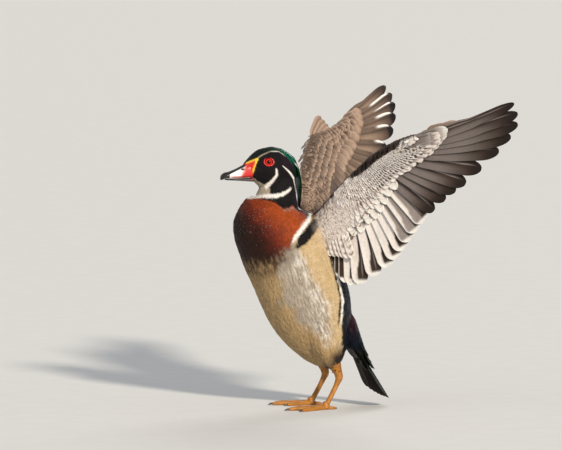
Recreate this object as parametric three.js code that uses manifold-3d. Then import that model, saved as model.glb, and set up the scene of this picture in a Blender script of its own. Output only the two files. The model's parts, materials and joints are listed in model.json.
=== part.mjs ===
// Drake wood duck, life size, standing tall with both wings raised as it flaps them dry.
// Millimetres, +Z up. The bill points to -X and the bird's left side faces -Y.
import * as THREE from "three";
import { mergeVertices } from "three/addons/utils/BufferGeometryUtils.js";
import Module from "manifold-3d";

const wasm = await Module();
wasm.setup();

// Gap left between two nodes that touch.
const GAP = 0.35;
// Facets smaller than this are merged.
const SMALLEST = 0.05;
const DEG = Math.PI / 180;

// Body: its axis rises steeply from the rump to the breast.
const BODY_PITCH = 68.6 * DEG;
const RUMP_END = [14, 48];
// Along the axis, offset towards the back, half width, half depth.
const TORSO = [
  [-5, 3, 4, 4],
  [8, 2, 19, 18],
  [23, 1, 31, 30],
  [47, 1, 43, 43],
  [73, 1, 50, 51],
  [100, 1, 53, 54],
  [126, 1, 54, 55],
  [152, 0, 54, 55.5],
  [174, -2, 53, 53],
  [187, -7, 50, 47],
  [199, -12, 44, 39],
  [209, -15, 36, 31],
  [218, -17, 27, 20],
  [225, -18, 14, 9],
  [229, -18, 4, 3],
];

// Neck: x, z, half width, half depth.
const NECK = [
  [-50, 218, 34, 31],
  [-54.5, 236, 30, 29],
  [-54.2, 251, 23, 26],
  [-52, 264, 19.5, 22.5],
  [-51, 276, 17, 19.5],
  [-52, 288, 14, 15],
];

// Head, from the nape to the brow: x, z, half width, half height.
const HEAD = [
  [-28, 285, 3, 3],
  [-32, 285, 10, 13],
  [-38, 285.5, 14, 19],
  [-46, 286, 16.5, 23.4],
  [-56, 287, 17.8, 26.2],
  [-66, 287.6, 17.2, 26.2],
  [-75, 288.4, 15, 23.2],
  [-83, 288, 11.6, 17.4],
  [-89, 287, 8.8, 11.8],
  [-94, 285.2, 6, 7],
  [-97, 284, 2, 2],
];

// Upper bill from its base to the nail: x, lower edge, ridge, half width.
const BILL_UPPER = [
  [-80, 277.6, 297.5, 8.2],
  [-88, 277, 296, 8.6],
  [-96, 276.6, 291.8, 8],
  [-104, 276.4, 287.8, 7.4],
  [-112, 276.4, 284.6, 7.3],
  [-118, 276, 282.8, 6.8],
  [-121.5, 274.6, 280.6, 5],
  [-123.5, 274, 277.8, 2],
];
const BILL_LOWER = [
  [-80, 271.6, 276.6, 6.4],
  [-90, 272.4, 276.4, 6.2],
  [-104, 273.4, 275.9, 5.6],
  [-114, 274, 275.8, 4.8],
  [-118, 274.4, 275.7, 3],
];
const NOSTRIL = { at: [-97.5, 6.6, 286], size: [3.2, 1.6, 1.3] };

const EYE = { at: [-67.5, 13.2, 296], radius: 5.6 };
const LID = { ring: 5.9, thick: 1.15, push: 3.3, turn: 8 * DEG };
const CREST = { locks: 9, width: 11, thick: 1.6, tip: 233 };

// Where the skin is parted between torso and neck, and neck and head: x, z and the tilt of the cut.
const COLLAR_CUT = { at: [-55, 247], tilt: 6 * DEG };
const THROAT_CUT = { at: [-54, 266], tilt: -10 * DEG };

// Tail: the rump's cone leaves the back of the body, and the feathers fan out of it.
const TAIL_ROOT = [24, 104];
const TAIL_SLOPE = 58 * DEG;
const TAIL = { feathers: 14, length: 112, start: 24, fan: 21 * DEG, width: 14, top: 1.8, step: 4.2 };
const RUMP = [
  [-20, 22, 16],
  [0, 27, 17],
  [22, 25, 13],
  [42, 20, 8],
  [62, 14, 3],
];

// Legs and feet. The ankle is the high joint, and the toes spread from the foot joint.
const FOOT_JOINT = [-2, 33, 5];
const LEG = [
  [-12, 27, 108, 22],
  [-4, 28, 84, 19],
  [6, 29, 62, 11],
  [13, 30.5, 46, 5.6],
  [15, 31, 38, 4.6],
  [12.5, 31.4, 31, 3.3],
  [7, 32, 20, 2.9],
  [1, 32.8, 9, 3.1],
  [-2, 33, 2, 3.6],
];
const ANKLE_CUT = { at: [13, 45], tilt: -20 * DEG };
const SOLE_CUT = { at: [0, 7], tilt: 0 };
const TOES = { inner: 39, middle: 51, outer: 46, hind: 13, spread: 27 * DEG, turn: 6 * DEG, radius: 3.1 };
const WEB_THICK = 1.3;

// Wing, in its own plane: along the span, along the chord towards the trailing edge, and up from the back face.
const SHOULDER = [-13, -40, 226];
const SPAN = new THREE.Vector3(0.5845, -0.7399, 0.333).normalize();
const CHORD_HINT = new THREE.Vector3(0.384, -0.109, -0.917);
// The right wing is turned a little further about the line from its shoulder to its tip.
const RIGHT_ROLL = 14 * DEG;
const WING_TIP = [318, -44];
const WRIST = [108, -43];
const HAND_END = [164, -47];
const INNER_END = [30, 0];
const PRIMARIES = 10;
const SECONDARIES = 9;
const TERTIALS = 3;
const CAMBER = 8;
const VANE_TILT = 0.16;
const VANE_THICK = 0.62;
// Tips of every second flight feather, from the outermost primary to the innermost tertial.
const TIP_LINE = [
  [318, -44],
  [311, -21],
  [276, -1],
  [217, 20],
  [183, 29],
  [143, 43],
  [115, 57],
  [89, 71],
  [61, 82],
  [18, 88],
  [2, 80],
  [-6, 66],
];
// Fleshy part of the wing: span, leading edge, trailing edge, half thickness.
const WING_CORE = [
  [-22, 0, 34, 4],
  [-12, -9, 40, 8],
  [4, -14, 40, 8],
  [30, -25, 30, 6.5],
  [60, -36, 12, 5.5],
  [90, -46, -12, 5],
  [112, -52, -27, 4.5],
  [140, -55.5, -36, 3.5],
  [166, -56, -41, 2.6],
  [180, -55, -45, 1.2],
];
// Greater coverts over the roots of the flight feathers, on either face: how far out they reach, and their height.
const COVERTS = { count: 15, reach: 0.46, width: 16, height: 4 };
// The right wing shows more of the skin in front of its arm.
const RIGHT_LEAD = 13;
const ALULA = {
  feathers: 3,
  root: [104, -50],
  length: 46,
  width: 12,
  angle: { left: 8 * DEG, right: 22 * DEG },
};
const AXILLARIES = { feathers: 4, length: 62, width: 17 };

const COLOURS = {
  chestnut: { color: 0x6e2413, roughness: 0.75 },
  buff: { color: 0xc9b28a, roughness: 0.85 },
  green: { color: 0x0f2a1e, roughness: 0.45 },
  red: { color: 0xc0281f, roughness: 0.4 },
  black: { color: 0x131211, roughness: 0.5 },
  eye: { color: 0xd01c12, roughness: 0.08 },
  wing: { color: 0xa7927c, roughness: 0.8 },
  tail: { color: 0x241d1a, roughness: 0.6 },
  leg: { color: 0xc98a2c, roughness: 0.6 },
};

// A geometry as a manifold solid, its faces turned outwards.
function solid(geometry) {
  const bare = new THREE.BufferGeometry();
  bare.setAttribute("position", geometry.getAttribute("position"));
  bare.setIndex(geometry.index);
  const merged = mergeVertices(bare, 1e-4);
  const vertProperties = new Float32Array(merged.attributes.position.array);
  const triVerts = new Uint32Array(merged.index.array);
  const make = () =>
    new wasm.Manifold(new wasm.Mesh({ numProp: 3, vertProperties, triVerts }));
  let made = make();
  if (made.volume() < 0) {
    for (let i = 0; i < triVerts.length; i += 3) {
      [triVerts[i + 1], triVerts[i + 2]] = [triVerts[i + 2], triVerts[i + 1]];
    }
    made = make();
  }
  return made;
}

// The largest closed surface of a solid, as a geometry.
function geometryOf(made) {
  const bodies = made.simplify(SMALLEST).decompose();
  bodies.sort((a, b) => b.volume() - a.volume());
  const mesh = bodies[0].getMesh();
  const geometry = new THREE.BufferGeometry();
  geometry.setAttribute("position", new THREE.BufferAttribute(mesh.vertProperties, 3));
  geometry.setIndex(new THREE.BufferAttribute(mesh.triVerts, 1));
  return geometry;
}

const joined = (solids) => solids.reduce((a, b) => a.add(b));

// A smooth curve of number rows, read at t from 0 to 1.
function smoothRows(rows) {
  const triples = [];
  for (let c = 0; c < rows[0].length; c += 3) {
    const points = rows.map((r) => new THREE.Vector3(r[c], r[c + 1] ?? 0, r[c + 2] ?? 0));
    triples.push(new THREE.CatmullRomCurve3(points, false, "catmullrom", 0.5));
  }
  return (t) => triples.flatMap((curve) => curve.getPoint(t).toArray());
}

// A sphere stretched along a spine. place(t, angle) gives the point of its skin.
function sphereAlong(place, around, rings) {
  const geometry = new THREE.SphereGeometry(1, around, rings);
  const position = geometry.getAttribute("position");
  for (let i = 0; i < position.count; i++) {
    const ring = Math.floor(i / (around + 1));
    const angle = ((i % (around + 1)) / around) * 2 * Math.PI;
    const point = place(ring / rings, angle);
    position.setXYZ(i, point.x, point.y, point.z);
  }
  return solid(geometry);
}

// How far a rounded end has opened at t, from 0 at either end to 1.
function endRound(t, share = 0.08) {
  const near = Math.min(t, 1 - t, share) / share;
  return Math.sqrt(1 - (1 - near) ** 2);
}

// Body of round sections about a spine in the XZ plane, square to the spine or to one given direction.
// Rows: x, z, half width, half depth.
function loft(rows, around, rings, { grow = 0, run } = {}) {
  const at = smoothRows(rows);
  const place = (t, angle) => {
    const [x, z, wide, deep] = at(t);
    const [xa, za] = at(Math.max(0, t - 0.01));
    const [xb, zb] = at(Math.min(1, t + 0.01));
    const along = run ?? new THREE.Vector2(xb - xa, zb - za).normalize();
    const open = endRound(t);
    const side = Math.sin(angle) * (wide + grow) * open;
    const back = Math.cos(angle) * (deep + grow) * open;
    return new THREE.Vector3(x + along.y * back, side, z - along.x * back);
  };
  return sphereAlong(place, around, rings);
}

// A point given along the body's axis and towards its back, as x and z.
function inBody(along, back) {
  const c = Math.cos(BODY_PITCH);
  const s = Math.sin(BODY_PITCH);
  return [RUMP_END[0] - c * along + s * back, RUMP_END[1] + s * along + c * back];
}

function torsoLoft(grow = 0) {
  const rows = TORSO.map(([along, back, wide, deep]) => [...inBody(along, back), wide, deep]);
  const run = new THREE.Vector2(-Math.cos(BODY_PITCH), Math.sin(BODY_PITCH));
  return loft(rows, 30, 24, { grow, run });
}

// Half space below a tilted cut, as a large block, moved down by half the gap and up for the part above it.
function below({ at: [x, z], tilt }, shift) {
  const size = 600;
  const block = new THREE.BoxGeometry(size, size, size);
  block.translate(0, 0, -size / 2 + shift);
  block.rotateY(tilt);
  block.translate(x, 0, z);
  return solid(block);
}

// Flat-sided bill half. Rows: x, lower edge, ridge, half width.
function billHalf(rows, flatBelow, grow = 0) {
  const at = smoothRows(rows);
  const place = (t, angle) => {
    const [x, low, high, wide] = at(t);
    const open = endRound(t, 0.1);
    const middle = (low + high) / 2;
    const side = Math.sin(angle);
    const up = Math.cos(angle);
    // The ridge is narrow and the biting edge full, so the section is a rounded arch.
    const arch = flatBelow ? Math.sign(up) * Math.abs(up) ** (up < 0 ? 0.35 : 1.1) : up;
    const half = ((high - low) / 2 + grow) * open;
    const width = (wide + grow) * open * Math.sign(side) * Math.abs(side) ** 0.8;
    return new THREE.Vector3(x, width, middle + arch * half);
  };
  return sphereAlong(place, 16, 13);
}

function ball(x, y, z, radius, detail = 12) {
  const geometry = new THREE.SphereGeometry(radius, detail, detail / 2);
  geometry.rotateX(Math.PI / 2);
  geometry.translate(x, y, z);
  return solid(geometry);
}

// A thin tapered vane. axis(u) and across(u) are vectors, half(u) the half width, and lift the way its faces look.
function vane({ axis, across, half, lift, thick = VANE_THICK, steps }) {
  const points = [];
  for (const u of steps) {
    const middle = axis(u);
    const side = across(u);
    const up = lift(u).clone().multiplyScalar(thick / 2);
    for (const [s, face] of [[-1, 1], [1, 1], [1, -1], [-1, -1]]) {
      const point = middle.clone().addScaledVector(side, s * half(u));
      points.push(...point.addScaledVector(up, face).toArray());
    }
  }
  const index = [];
  const quad = (a, b, c, d) => index.push(a, b, c, a, c, d);
  for (let k = 0; k + 1 < steps.length; k++) {
    const a = 4 * k;
    const b = a + 4;
    quad(a, a + 1, b + 1, b);
    quad(a + 1, a + 2, b + 2, b + 1);
    index.push(a + 3, b + 2, a + 2, a + 3, b + 3, b + 2);
    quad(a + 3, a, b, b + 3);
  }
  const last = 4 * (steps.length - 1);
  quad(0, 3, 2, 1);
  quad(last, last + 1, last + 2, last + 3);
  const geometry = new THREE.BufferGeometry();
  geometry.setAttribute("position", new THREE.Float32BufferAttribute(points, 3));
  geometry.setIndex(index);
  return solid(geometry);
}

// Width along a feather as a share of its full width: a quill, a long blade and a rounded tip.
function bladeShare(u) {
  const quill = THREE.MathUtils.smoothstep(u, 0, 0.35) * 0.75 + 0.25;
  const tip = u < 0.72 ? 1 : Math.sqrt(Math.max(0.02, 1 - ((u - 0.72) / 0.285) ** 2));
  return quill * tip;
}

const FLIGHT_STEPS = [0, 0.2, 0.45, 0.76, 0.92, 1];
const COVERT_STEPS = [0, 0.45, 0.82, 1];

// The wing's own frame: span, chord and back face, from the shoulder. Side is -1 for the left and 1 for the right.
function wingFrame(side) {
  const mirror = new THREE.Vector3(1, -side, 1);
  const span = SPAN.clone().multiply(mirror);
  const chord = CHORD_HINT.clone().multiply(mirror);
  chord.addScaledVector(span, -chord.dot(span)).normalize();
  const face = new THREE.Vector3().crossVectors(span, chord).multiplyScalar(-side);
  const origin = new THREE.Vector3(...SHOULDER).multiply(mirror);
  if (side > 0) {
    const line = span.clone().multiplyScalar(WING_TIP[0]).addScaledVector(chord, WING_TIP[1]);
    for (const v of [span, chord, face]) v.applyAxisAngle(line.clone().normalize(), -RIGHT_ROLL);
  }
  return (a, b, c) =>
    origin
      .clone()
      .addScaledVector(span, a)
      .addScaledVector(chord, b)
      .addScaledVector(face, c + CAMBER * (1 - ((b - 5) / 75) ** 2));
}

// One feather of the wing, between two points of its plane. It lies like a shingle, with the outer edge on top.
function wingFeather(onWing, { root, tip, width, level = 0, tilt = VANE_TILT, rise = 0 }, steps) {
  const from = new THREE.Vector2(...root);
  const to = new THREE.Vector2(...tip);
  const run = to.clone().sub(from).normalize();
  const outward = new THREE.Vector2(run.y, -run.x);
  const at = (u, side, up) => {
    const p = from.clone().lerp(to, u).addScaledVector(outward, side);
    const lifted = level * (0.35 + 0.65 * THREE.MathUtils.smoothstep(u, 0, 0.45));
    return onWing(p.x, p.y, lifted + side * tilt + up + rise * u);
  };
  const axis = (u) => at(u, 0, 0);
  const across = (u) => at(u, 1, 0).sub(axis(u)).normalize();
  const lift = (u) => at(u, 0, 1).sub(axis(u)).normalize();
  const half = (u) => (width / 2) * bladeShare(u);
  return vane({ axis, across, half, lift, steps });
}

function between(a, b, t) {
  return a.map((v, i) => v + (b[i] - v) * t);
}

// Root, tip and width of each flight feather, from the outermost primary inwards.
function flightFeathers() {
  const count = PRIMARIES + SECONDARIES + TERTIALS;
  const tips = smoothRows(TIP_LINE.map(([a, b]) => [a, b, 0]));
  const feathers = [];
  for (let k = 0; k < count; k++) {
    const onHand = k < PRIMARIES;
    const share = onHand ? k / (PRIMARIES - 1) : (k - PRIMARIES + 1) / (SECONDARIES + TERTIALS);
    const root = onHand ? between(HAND_END, WRIST, share) : between(WRIST, INNER_END, share);
    const [a, b] = tips(k / (count - 1));
    const width = onHand ? 11.5 + 6 * share : 18.5 + 1.5 * Math.sin(Math.PI * share);
    feathers.push({ root, tip: [a, b], width });
  }
  return feathers;
}

// Body of the wing between a leading and a trailing edge. Rows: span, leading edge, trailing edge, half thickness.
function wingBody(onWing, rows, rings) {
  const at = smoothRows(rows);
  const place = (t, angle) => {
    const [a, front, back, thick] = at(t);
    const open = endRound(t, 0.1);
    const chord = (front + back) / 2 - (Math.cos(angle) * open * (back - front)) / 2;
    return onWing(a, chord, Math.sin(angle) * thick * open);
  };
  return sphereAlong(place, 12, rings);
}

function wing(side) {
  const onWing = wingFrame(side);
  const flight = flightFeathers();
  const fuller = (a) => (side < 0 ? 0 : RIGHT_LEAD * THREE.MathUtils.smoothstep(a, -10, 60));
  const closer = (a) => fuller(a) * (1 - THREE.MathUtils.smoothstep(a, 112, 150));
  const core = WING_CORE.map(([a, front, back, thick]) => [a, front - closer(a), back, thick]);
  const pieces = [wingBody(onWing, core, 16)];
  const add = (feather, steps) => pieces.push(wingFeather(onWing, feather, steps));
  for (const feather of flight) add(feather, FLIGHT_STEPS);
  for (const face of [1, -1]) {
    for (let k = 0; k < COVERTS.count; k++) {
      const at = (k + 0.6) * ((flight.length - TERTIALS) / COVERTS.count);
      const near = flight[Math.floor(at)];
      const next = flight[Math.min(flight.length - 1, Math.floor(at) + 1)];
      const root = between(near.root, next.root, at % 1);
      const tip = between(root, between(near.tip, next.tip, at % 1), COVERTS.reach);
      const level = face * COVERTS.height;
      add({ root, tip, width: COVERTS.width, level, tilt: VANE_TILT }, COVERT_STEPS);
    }
  }
  const lean = side < 0 ? ALULA.angle.left : ALULA.angle.right;
  for (let k = 0; k < ALULA.feathers; k++) {
    const turn = lean - k * 5 * DEG;
    const length = ALULA.length - 7 * k;
    const root = [ALULA.root[0] + 2 * k, ALULA.root[1] + 3 * k - closer(ALULA.root[0])];
    const tip = [root[0] + length * Math.cos(turn), root[1] - length * Math.sin(turn)];
    add({ root, tip, width: ALULA.width, level: 1.5 * (k - 1), rise: 4 }, FLIGHT_STEPS);
  }
  for (let k = 0; k < AXILLARIES.feathers; k++) {
    const root = [24 - 9 * k, 14];
    const tip = [22 - 9 * k, 14 + AXILLARIES.length - 5 * k];
    add({ root, tip, width: AXILLARIES.width, level: -5.5, rise: -1 }, COVERT_STEPS);
  }
  return joined(pieces);
}

// Where the tail's own directions point: down its length, and out of its upper face.
const TAIL_RUN = new THREE.Vector3(Math.cos(TAIL_SLOPE), 0, -Math.sin(TAIL_SLOPE));
const TAIL_FACE = new THREE.Vector3(Math.sin(TAIL_SLOPE), 0, Math.cos(TAIL_SLOPE));

function onTail(along, side, up) {
  const roof = up - (side * side) / 260;
  return new THREE.Vector3(TAIL_ROOT[0], side, TAIL_ROOT[1])
    .addScaledVector(TAIL_RUN, along)
    .addScaledVector(TAIL_FACE, roof);
}

// Rump and tail body. Rows: along, half width, half thickness.
function tailBody(rows) {
  const at = smoothRows(rows);
  const place = (t, angle) => {
    const [along, wide, thick] = at(t);
    const open = endRound(t, 0.15);
    return onTail(along, Math.sin(angle) * wide * open, Math.cos(angle) * thick * open);
  };
  return sphereAlong(place, 16, 10);
}

function tailFeather({ angle, start, length, width, level }) {
  const at = (u, side, up) => {
    const along = start + length * u * Math.cos(angle);
    const out = length * u * Math.sin(angle) + 14 * Math.sin(angle);
    return onTail(along - side * Math.sin(angle), out + side * Math.cos(angle), level + up);
  };
  const axis = (u) => at(u, 0, 0);
  const across = (u) => at(u, 1, 0).sub(axis(u)).normalize();
  const lift = (u) => at(u, 0, 1).sub(axis(u)).normalize();
  const half = (u) => (width / 2) * bladeShare(u);
  return vane({ axis, across, half, lift, steps: FLIGHT_STEPS });
}

function tail() {
  const pieces = [tailBody(RUMP)];
  for (let k = 0; k < TAIL.feathers; k++) {
    const share = (2 * k) / (TAIL.feathers - 1) - 1;
    const length = (TAIL.length - TAIL.start) * (1 - 0.14 * share * share);
    const level = TAIL.top - TAIL.step * Math.abs(share);
    pieces.push(
      tailFeather({ angle: share * TAIL.fan, start: TAIL.start, length, width: TAIL.width, level }),
    );
  }
  return joined(pieces);
}

// A tapered limb of round sections through points, with a radius at each.
function limb(points, around, rings) {
  const at = smoothRows(points);
  const place = (t, angle) => {
    const [x, y, z, radius] = at(t);
    const ahead = new THREE.Vector3(...at(Math.min(1, t + 0.01)));
    const along = ahead.sub(new THREE.Vector3(...at(Math.max(0, t - 0.01)))).normalize();
    const side = new THREE.Vector3(0, 1, 0).cross(along).normalize();
    const front = along.clone().cross(side);
    const open = endRound(t, 0.12) * radius;
    return new THREE.Vector3(x, y, z)
      .addScaledVector(side, Math.cos(angle) * open)
      .addScaledVector(front, Math.sin(angle) * open);
  };
  return sphereAlong(place, around, rings);
}

// The webbed foot: tapered toes with their claws, and a web between them, all flat underneath.
function foot(side) {
  const [x, y] = FOOT_JOINT;
  const centre = [x, side * y];
  const turn = -side * TOES.turn;
  const ends = {};
  const pieces = [];
  for (const [name, length, angle, radius] of [
    ["inner", TOES.inner, -TOES.spread, TOES.radius],
    ["middle", TOES.middle, 0, TOES.radius * 1.1],
    ["outer", TOES.outer, TOES.spread, TOES.radius],
    ["hind", -TOES.hind, -0.4 * TOES.spread, TOES.radius * 0.8],
  ]) {
    const aim = side * angle - turn;
    const out = (share) => [
      centre[0] - share * length * Math.cos(aim),
      centre[1] + share * length * Math.sin(aim),
    ];
    ends[name] = out(0.84);
    const rows = [
      [...out(-0.04), radius * 0.9, radius * 1.25],
      [...out(0.3), radius * 0.75, radius],
      [...out(0.6), radius * 0.65, radius * 0.85],
      [...out(0.84), radius * 0.6, radius * 0.72],
      [...out(0.95), radius * 0.5, radius * 0.42],
      [...out(1.04), radius * 0.25, radius * 0.16],
    ];
    pieces.push(limb(rows, 8, 8));
  }
  const web = (a, b) => {
    const shape = new THREE.Shape();
    const dent = between(between(ends[a], ends[b], 0.5), centre, 0.22);
    shape.moveTo(...centre);
    shape.lineTo(...ends[a]);
    shape.quadraticCurveTo(...dent, ...ends[b]);
    shape.lineTo(...centre);
    const sheet = { depth: WEB_THICK, bevelEnabled: false, curveSegments: 6 };
    return solid(new THREE.ExtrudeGeometry(shape, sheet));
  };
  const knuckle = limb(
    [
      [...centre, 0, 5.5],
      [...centre, 4, 5],
      [...centre, 10, 3.6],
    ],
    10,
    5,
  );
  pieces.push(knuckle, web("inner", "middle"), web("middle", "outer"));
  return joined(pieces).subtract(below({ at: [0, 0], tilt: 0 }, 0));
}

function legSkin(side) {
  const on = ([x, y, z, radius]) => [x, side * y, z, radius];
  return limb(LEG.map(on), 12, 18);
}

// Long tapered locks that lie over the nape and end in a point behind the neck.
function crestLock(share, k) {
  const drop = CREST.tip + 15 * share * share + 5 * (k % 3);
  const path = new THREE.CatmullRomCurve3([
    new THREE.Vector3(-50, share * 7, 307.5),
    new THREE.Vector3(-36, share * 11.5, 302.5 - 3 * share * share),
    new THREE.Vector3(-27.5, share * 11.5, 287 - 3 * share * share),
    new THREE.Vector3(-24.6, share * 10, 265),
    new THREE.Vector3(-23.6, share * 4.5, drop),
  ]);
  const across = new THREE.Vector3(0, 1, -0.35 * share).normalize();
  return vane({
    axis: (u) => path.getPoint(u),
    across: () => across,
    half: (u) => (CREST.width / 2) * (1.05 - 0.9 * u ** 2) * Math.min(1, 0.5 + 2 * u),
    lift: (u) => path.getTangent(u).cross(across).normalize(),
    thick: CREST.thick * (1 - 0.3 * (k % 2)),
    steps: [0, 0.25, 0.5, 0.75, 0.92, 1],
  });
}

function crest() {
  const locks = [];
  for (let k = 0; k < CREST.locks; k++) locks.push(crestLock((2 * k) / (CREST.locks - 1) - 1, k));
  return joined(locks);
}

const group = new THREE.Group();
function addNode(name, made, look) {
  const mesh = new THREE.Mesh(geometryOf(made), new THREE.MeshStandardMaterial(COLOURS[look]));
  mesh.name = name;
  group.add(mesh);
}

// The part of a solid between two cuts, each less half the gap.
function slice(made, { over, under }) {
  let part = made;
  if (over) part = part.subtract(below(over, GAP / 2));
  if (under) part = part.intersect(below(under, -GAP / 2));
  return part;
}

function build() {
  const skull = loft(HEAD, 22, 16);
  const skin = joined([torsoLoft(), loft(NECK, 22, 8), skull]);
  const torsoGrown = torsoLoft(GAP);
  const upperBill = billHalf(BILL_UPPER, true);
  const upperRoom = billHalf(BILL_UPPER, true, GAP);
  const lowerRoom = billHalf(BILL_LOWER, false, GAP);

  const nape = joined([loft(NECK, 22, 8, { grow: 2 * GAP }), torsoLoft(2 * GAP)]);
  const napeRoom = nape.intersect(below(THROAT_CUT, GAP / 2));
  let head = slice(skin, { over: THROAT_CUT }).add(crest().subtract(napeRoom));
  let bill = upperBill;
  for (const side of [1, -1]) {
    const end = side < 0 ? "left" : "right";
    const [x, y, z] = EYE.at;
    const lid = new THREE.TorusGeometry(LID.ring, LID.thick, 5, 12);
    lid.rotateX(Math.PI / 2);
    lid.rotateZ(side * LID.turn);
    lid.translate(x, side * (y + LID.push), z);
    head = head.add(solid(lid)).subtract(ball(x, side * y, z, EYE.radius + GAP));
    addNode("eye_" + end, ball(x, side * y, z, EYE.radius), "eye");
    const pit = new THREE.SphereGeometry(1, 12, 8);
    pit.scale(...NOSTRIL.size);
    pit.translate(NOSTRIL.at[0], side * NOSTRIL.at[1], NOSTRIL.at[2]);
    bill = bill.subtract(solid(pit));
  }
  addNode("head", head.subtract(upperRoom.add(lowerRoom)), "green");
  addNode("neck", slice(skin, { over: COLLAR_CUT, under: THROAT_CUT }), "black");
  addNode("torso", slice(skin, { under: COLLAR_CUT }), "chestnut");
  addNode("bill_upper", bill, "red");
  addNode("bill_lower", billHalf(BILL_LOWER, false).subtract(upperRoom), "black");

  addNode("wing_left", wing(-1).subtract(torsoGrown), "wing");
  addNode("wing_right", wing(1).subtract(torsoGrown), "wing");
  addNode("tail", tail().subtract(torsoGrown), "tail");

  for (const side of [1, -1]) {
    const end = side < 0 ? "left" : "right";
    const whole = legSkin(side).subtract(torsoGrown);
    addNode("thigh_" + end, slice(whole, { over: ANKLE_CUT }), "buff");
    addNode("leg_" + end, slice(whole, { over: SOLE_CUT, under: ANKLE_CUT }), "leg");
    addNode("foot_" + end, slice(foot(side), { under: SOLE_CUT }), "leg");
  }
}

build();

// The origin is on the floor under the middle of the whole bird's box.
const box = new THREE.Box3().setFromObject(group);
const middle = box.getCenter(new THREE.Vector3());
group.position.set(-middle.x, -middle.y, 0);

export default group;
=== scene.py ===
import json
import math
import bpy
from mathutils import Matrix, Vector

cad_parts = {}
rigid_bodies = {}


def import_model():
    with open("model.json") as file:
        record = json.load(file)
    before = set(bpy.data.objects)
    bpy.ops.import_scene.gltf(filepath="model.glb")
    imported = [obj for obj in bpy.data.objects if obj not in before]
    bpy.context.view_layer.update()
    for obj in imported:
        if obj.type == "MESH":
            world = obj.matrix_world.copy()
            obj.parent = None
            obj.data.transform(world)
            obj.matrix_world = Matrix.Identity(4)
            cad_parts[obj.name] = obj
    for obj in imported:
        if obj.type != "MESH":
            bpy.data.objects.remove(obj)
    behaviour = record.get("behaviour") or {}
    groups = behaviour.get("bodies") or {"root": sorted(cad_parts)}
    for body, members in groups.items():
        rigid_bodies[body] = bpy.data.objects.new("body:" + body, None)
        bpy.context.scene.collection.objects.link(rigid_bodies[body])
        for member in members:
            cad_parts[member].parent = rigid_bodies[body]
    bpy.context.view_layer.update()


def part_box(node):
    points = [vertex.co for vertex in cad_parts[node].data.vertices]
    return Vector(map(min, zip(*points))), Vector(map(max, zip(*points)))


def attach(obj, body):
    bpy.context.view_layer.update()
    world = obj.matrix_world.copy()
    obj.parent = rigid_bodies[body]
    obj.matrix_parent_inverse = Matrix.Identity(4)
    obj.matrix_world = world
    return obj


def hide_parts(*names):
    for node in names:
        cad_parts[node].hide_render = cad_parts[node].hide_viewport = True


bl_info = {
    "name": "Wood Duck",
    "version": (1, 0, 0),
    "blender": (4, 5, 0),
    "location": "3D View > Sidebar > Wood Duck",
    "description": "Dresses the wood duck's frame in skin, feathers, bill, eyes and feet",
    "category": "Object",
}

import bmesh
import bpy
import numpy as np
from bpy.props import FloatProperty, FloatVectorProperty, PointerProperty
from mathutils import Matrix, Vector
from mathutils.kdtree import KDTree

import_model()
MM = 0.001
SIDES = {"left": -1, "right": 1}

# The bird's own frame is the solids' frame before they were centred: millimetres,
# bill to -X, left side to -Y, floor at 0. The eyes show how far they were moved.
EYE = {"x": -67.5, "y": 13.2, "z": 296.0, "radius": 5.6}


def centre_of(node):
    low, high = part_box(node)
    return (np.array(low) + np.array(high)) / 2


SHIFT = (centre_of("eye_left") + centre_of("eye_right")) / 2
SHIFT = SHIFT - np.array([EYE["x"], 0.0, EYE["z"]]) * MM


# Sizes of the flesh, the same as in the solids
BODY_PITCH = math.radians(68.6)
BODY_RUN = np.array([-math.cos(BODY_PITCH), 0.0, math.sin(BODY_PITCH)])
BODY_BACK = np.array([math.sin(BODY_PITCH), 0.0, math.cos(BODY_PITCH)])
RUMP_END = np.array([14.0, 0.0, 48.0])
# Along the body, offset towards the back, half width, half depth
TORSO = [
    (-5, 3, 4, 4), (8, 2, 19, 18), (23, 1, 31, 30), (47, 1, 43, 43), (73, 1, 50, 51),
    (100, 1, 53, 54), (126, 1, 54, 55), (152, 0, 54, 55.5), (174, -2, 53, 53), (187, -7, 50, 47),
    (199, -12, 44, 39), (209, -15, 36, 31), (218, -17, 27, 20), (225, -18, 14, 9), (229, -18, 4, 3),
]
# x, z, half width, half depth
NECK = [
    (-50, 218, 34, 31), (-54.5, 236, 30, 29), (-54.2, 251, 23, 26), (-52, 264, 19.5, 22.5),
    (-51, 276, 17, 19.5), (-52, 288, 14, 15),
]
HEAD = [
    (-28, 285, 3, 3), (-32, 285, 10, 13), (-38, 285.5, 14, 19), (-46, 286, 16.5, 23.4),
    (-56, 287, 17.8, 26.2), (-66, 287.6, 17.2, 26.2), (-75, 288.4, 15, 23.2),
    (-83, 288, 11.6, 17.4), (-89, 287, 8.8, 11.8), (-94, 285.2, 6, 7), (-97, 284, 2, 2),
]
# x, lower edge, ridge, half width
BILL_UPPER = [
    (-80, 277.6, 297.5, 8.2), (-88, 277, 296, 8.6), (-96, 276.6, 291.8, 8),
    (-104, 276.4, 287.8, 7.4), (-112, 276.4, 284.6, 7.3), (-118, 276, 282.8, 6.8),
    (-121.5, 274.6, 280.6, 5), (-123.5, 274, 277.8, 2),
]
BILL_LOWER = [
    (-80, 271.6, 276.6, 6.4), (-90, 272.4, 276.4, 6.2), (-104, 273.4, 275.9, 5.6),
    (-114, 274, 275.8, 4.8), (-118, 274.4, 275.7, 3),
]
NOSTRIL = {"x": -97.5, "z": 287.2, "long": 4.0, "high": 1.6}
TAIL_ROOT = np.array([24.0, 0.0, 104.0])
TAIL_SLOPE = math.radians(58)
TAIL_RUN = np.array([math.cos(TAIL_SLOPE), 0.0, -math.sin(TAIL_SLOPE)])
TAIL_FACE = np.array([math.sin(TAIL_SLOPE), 0.0, math.cos(TAIL_SLOPE)])
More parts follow.
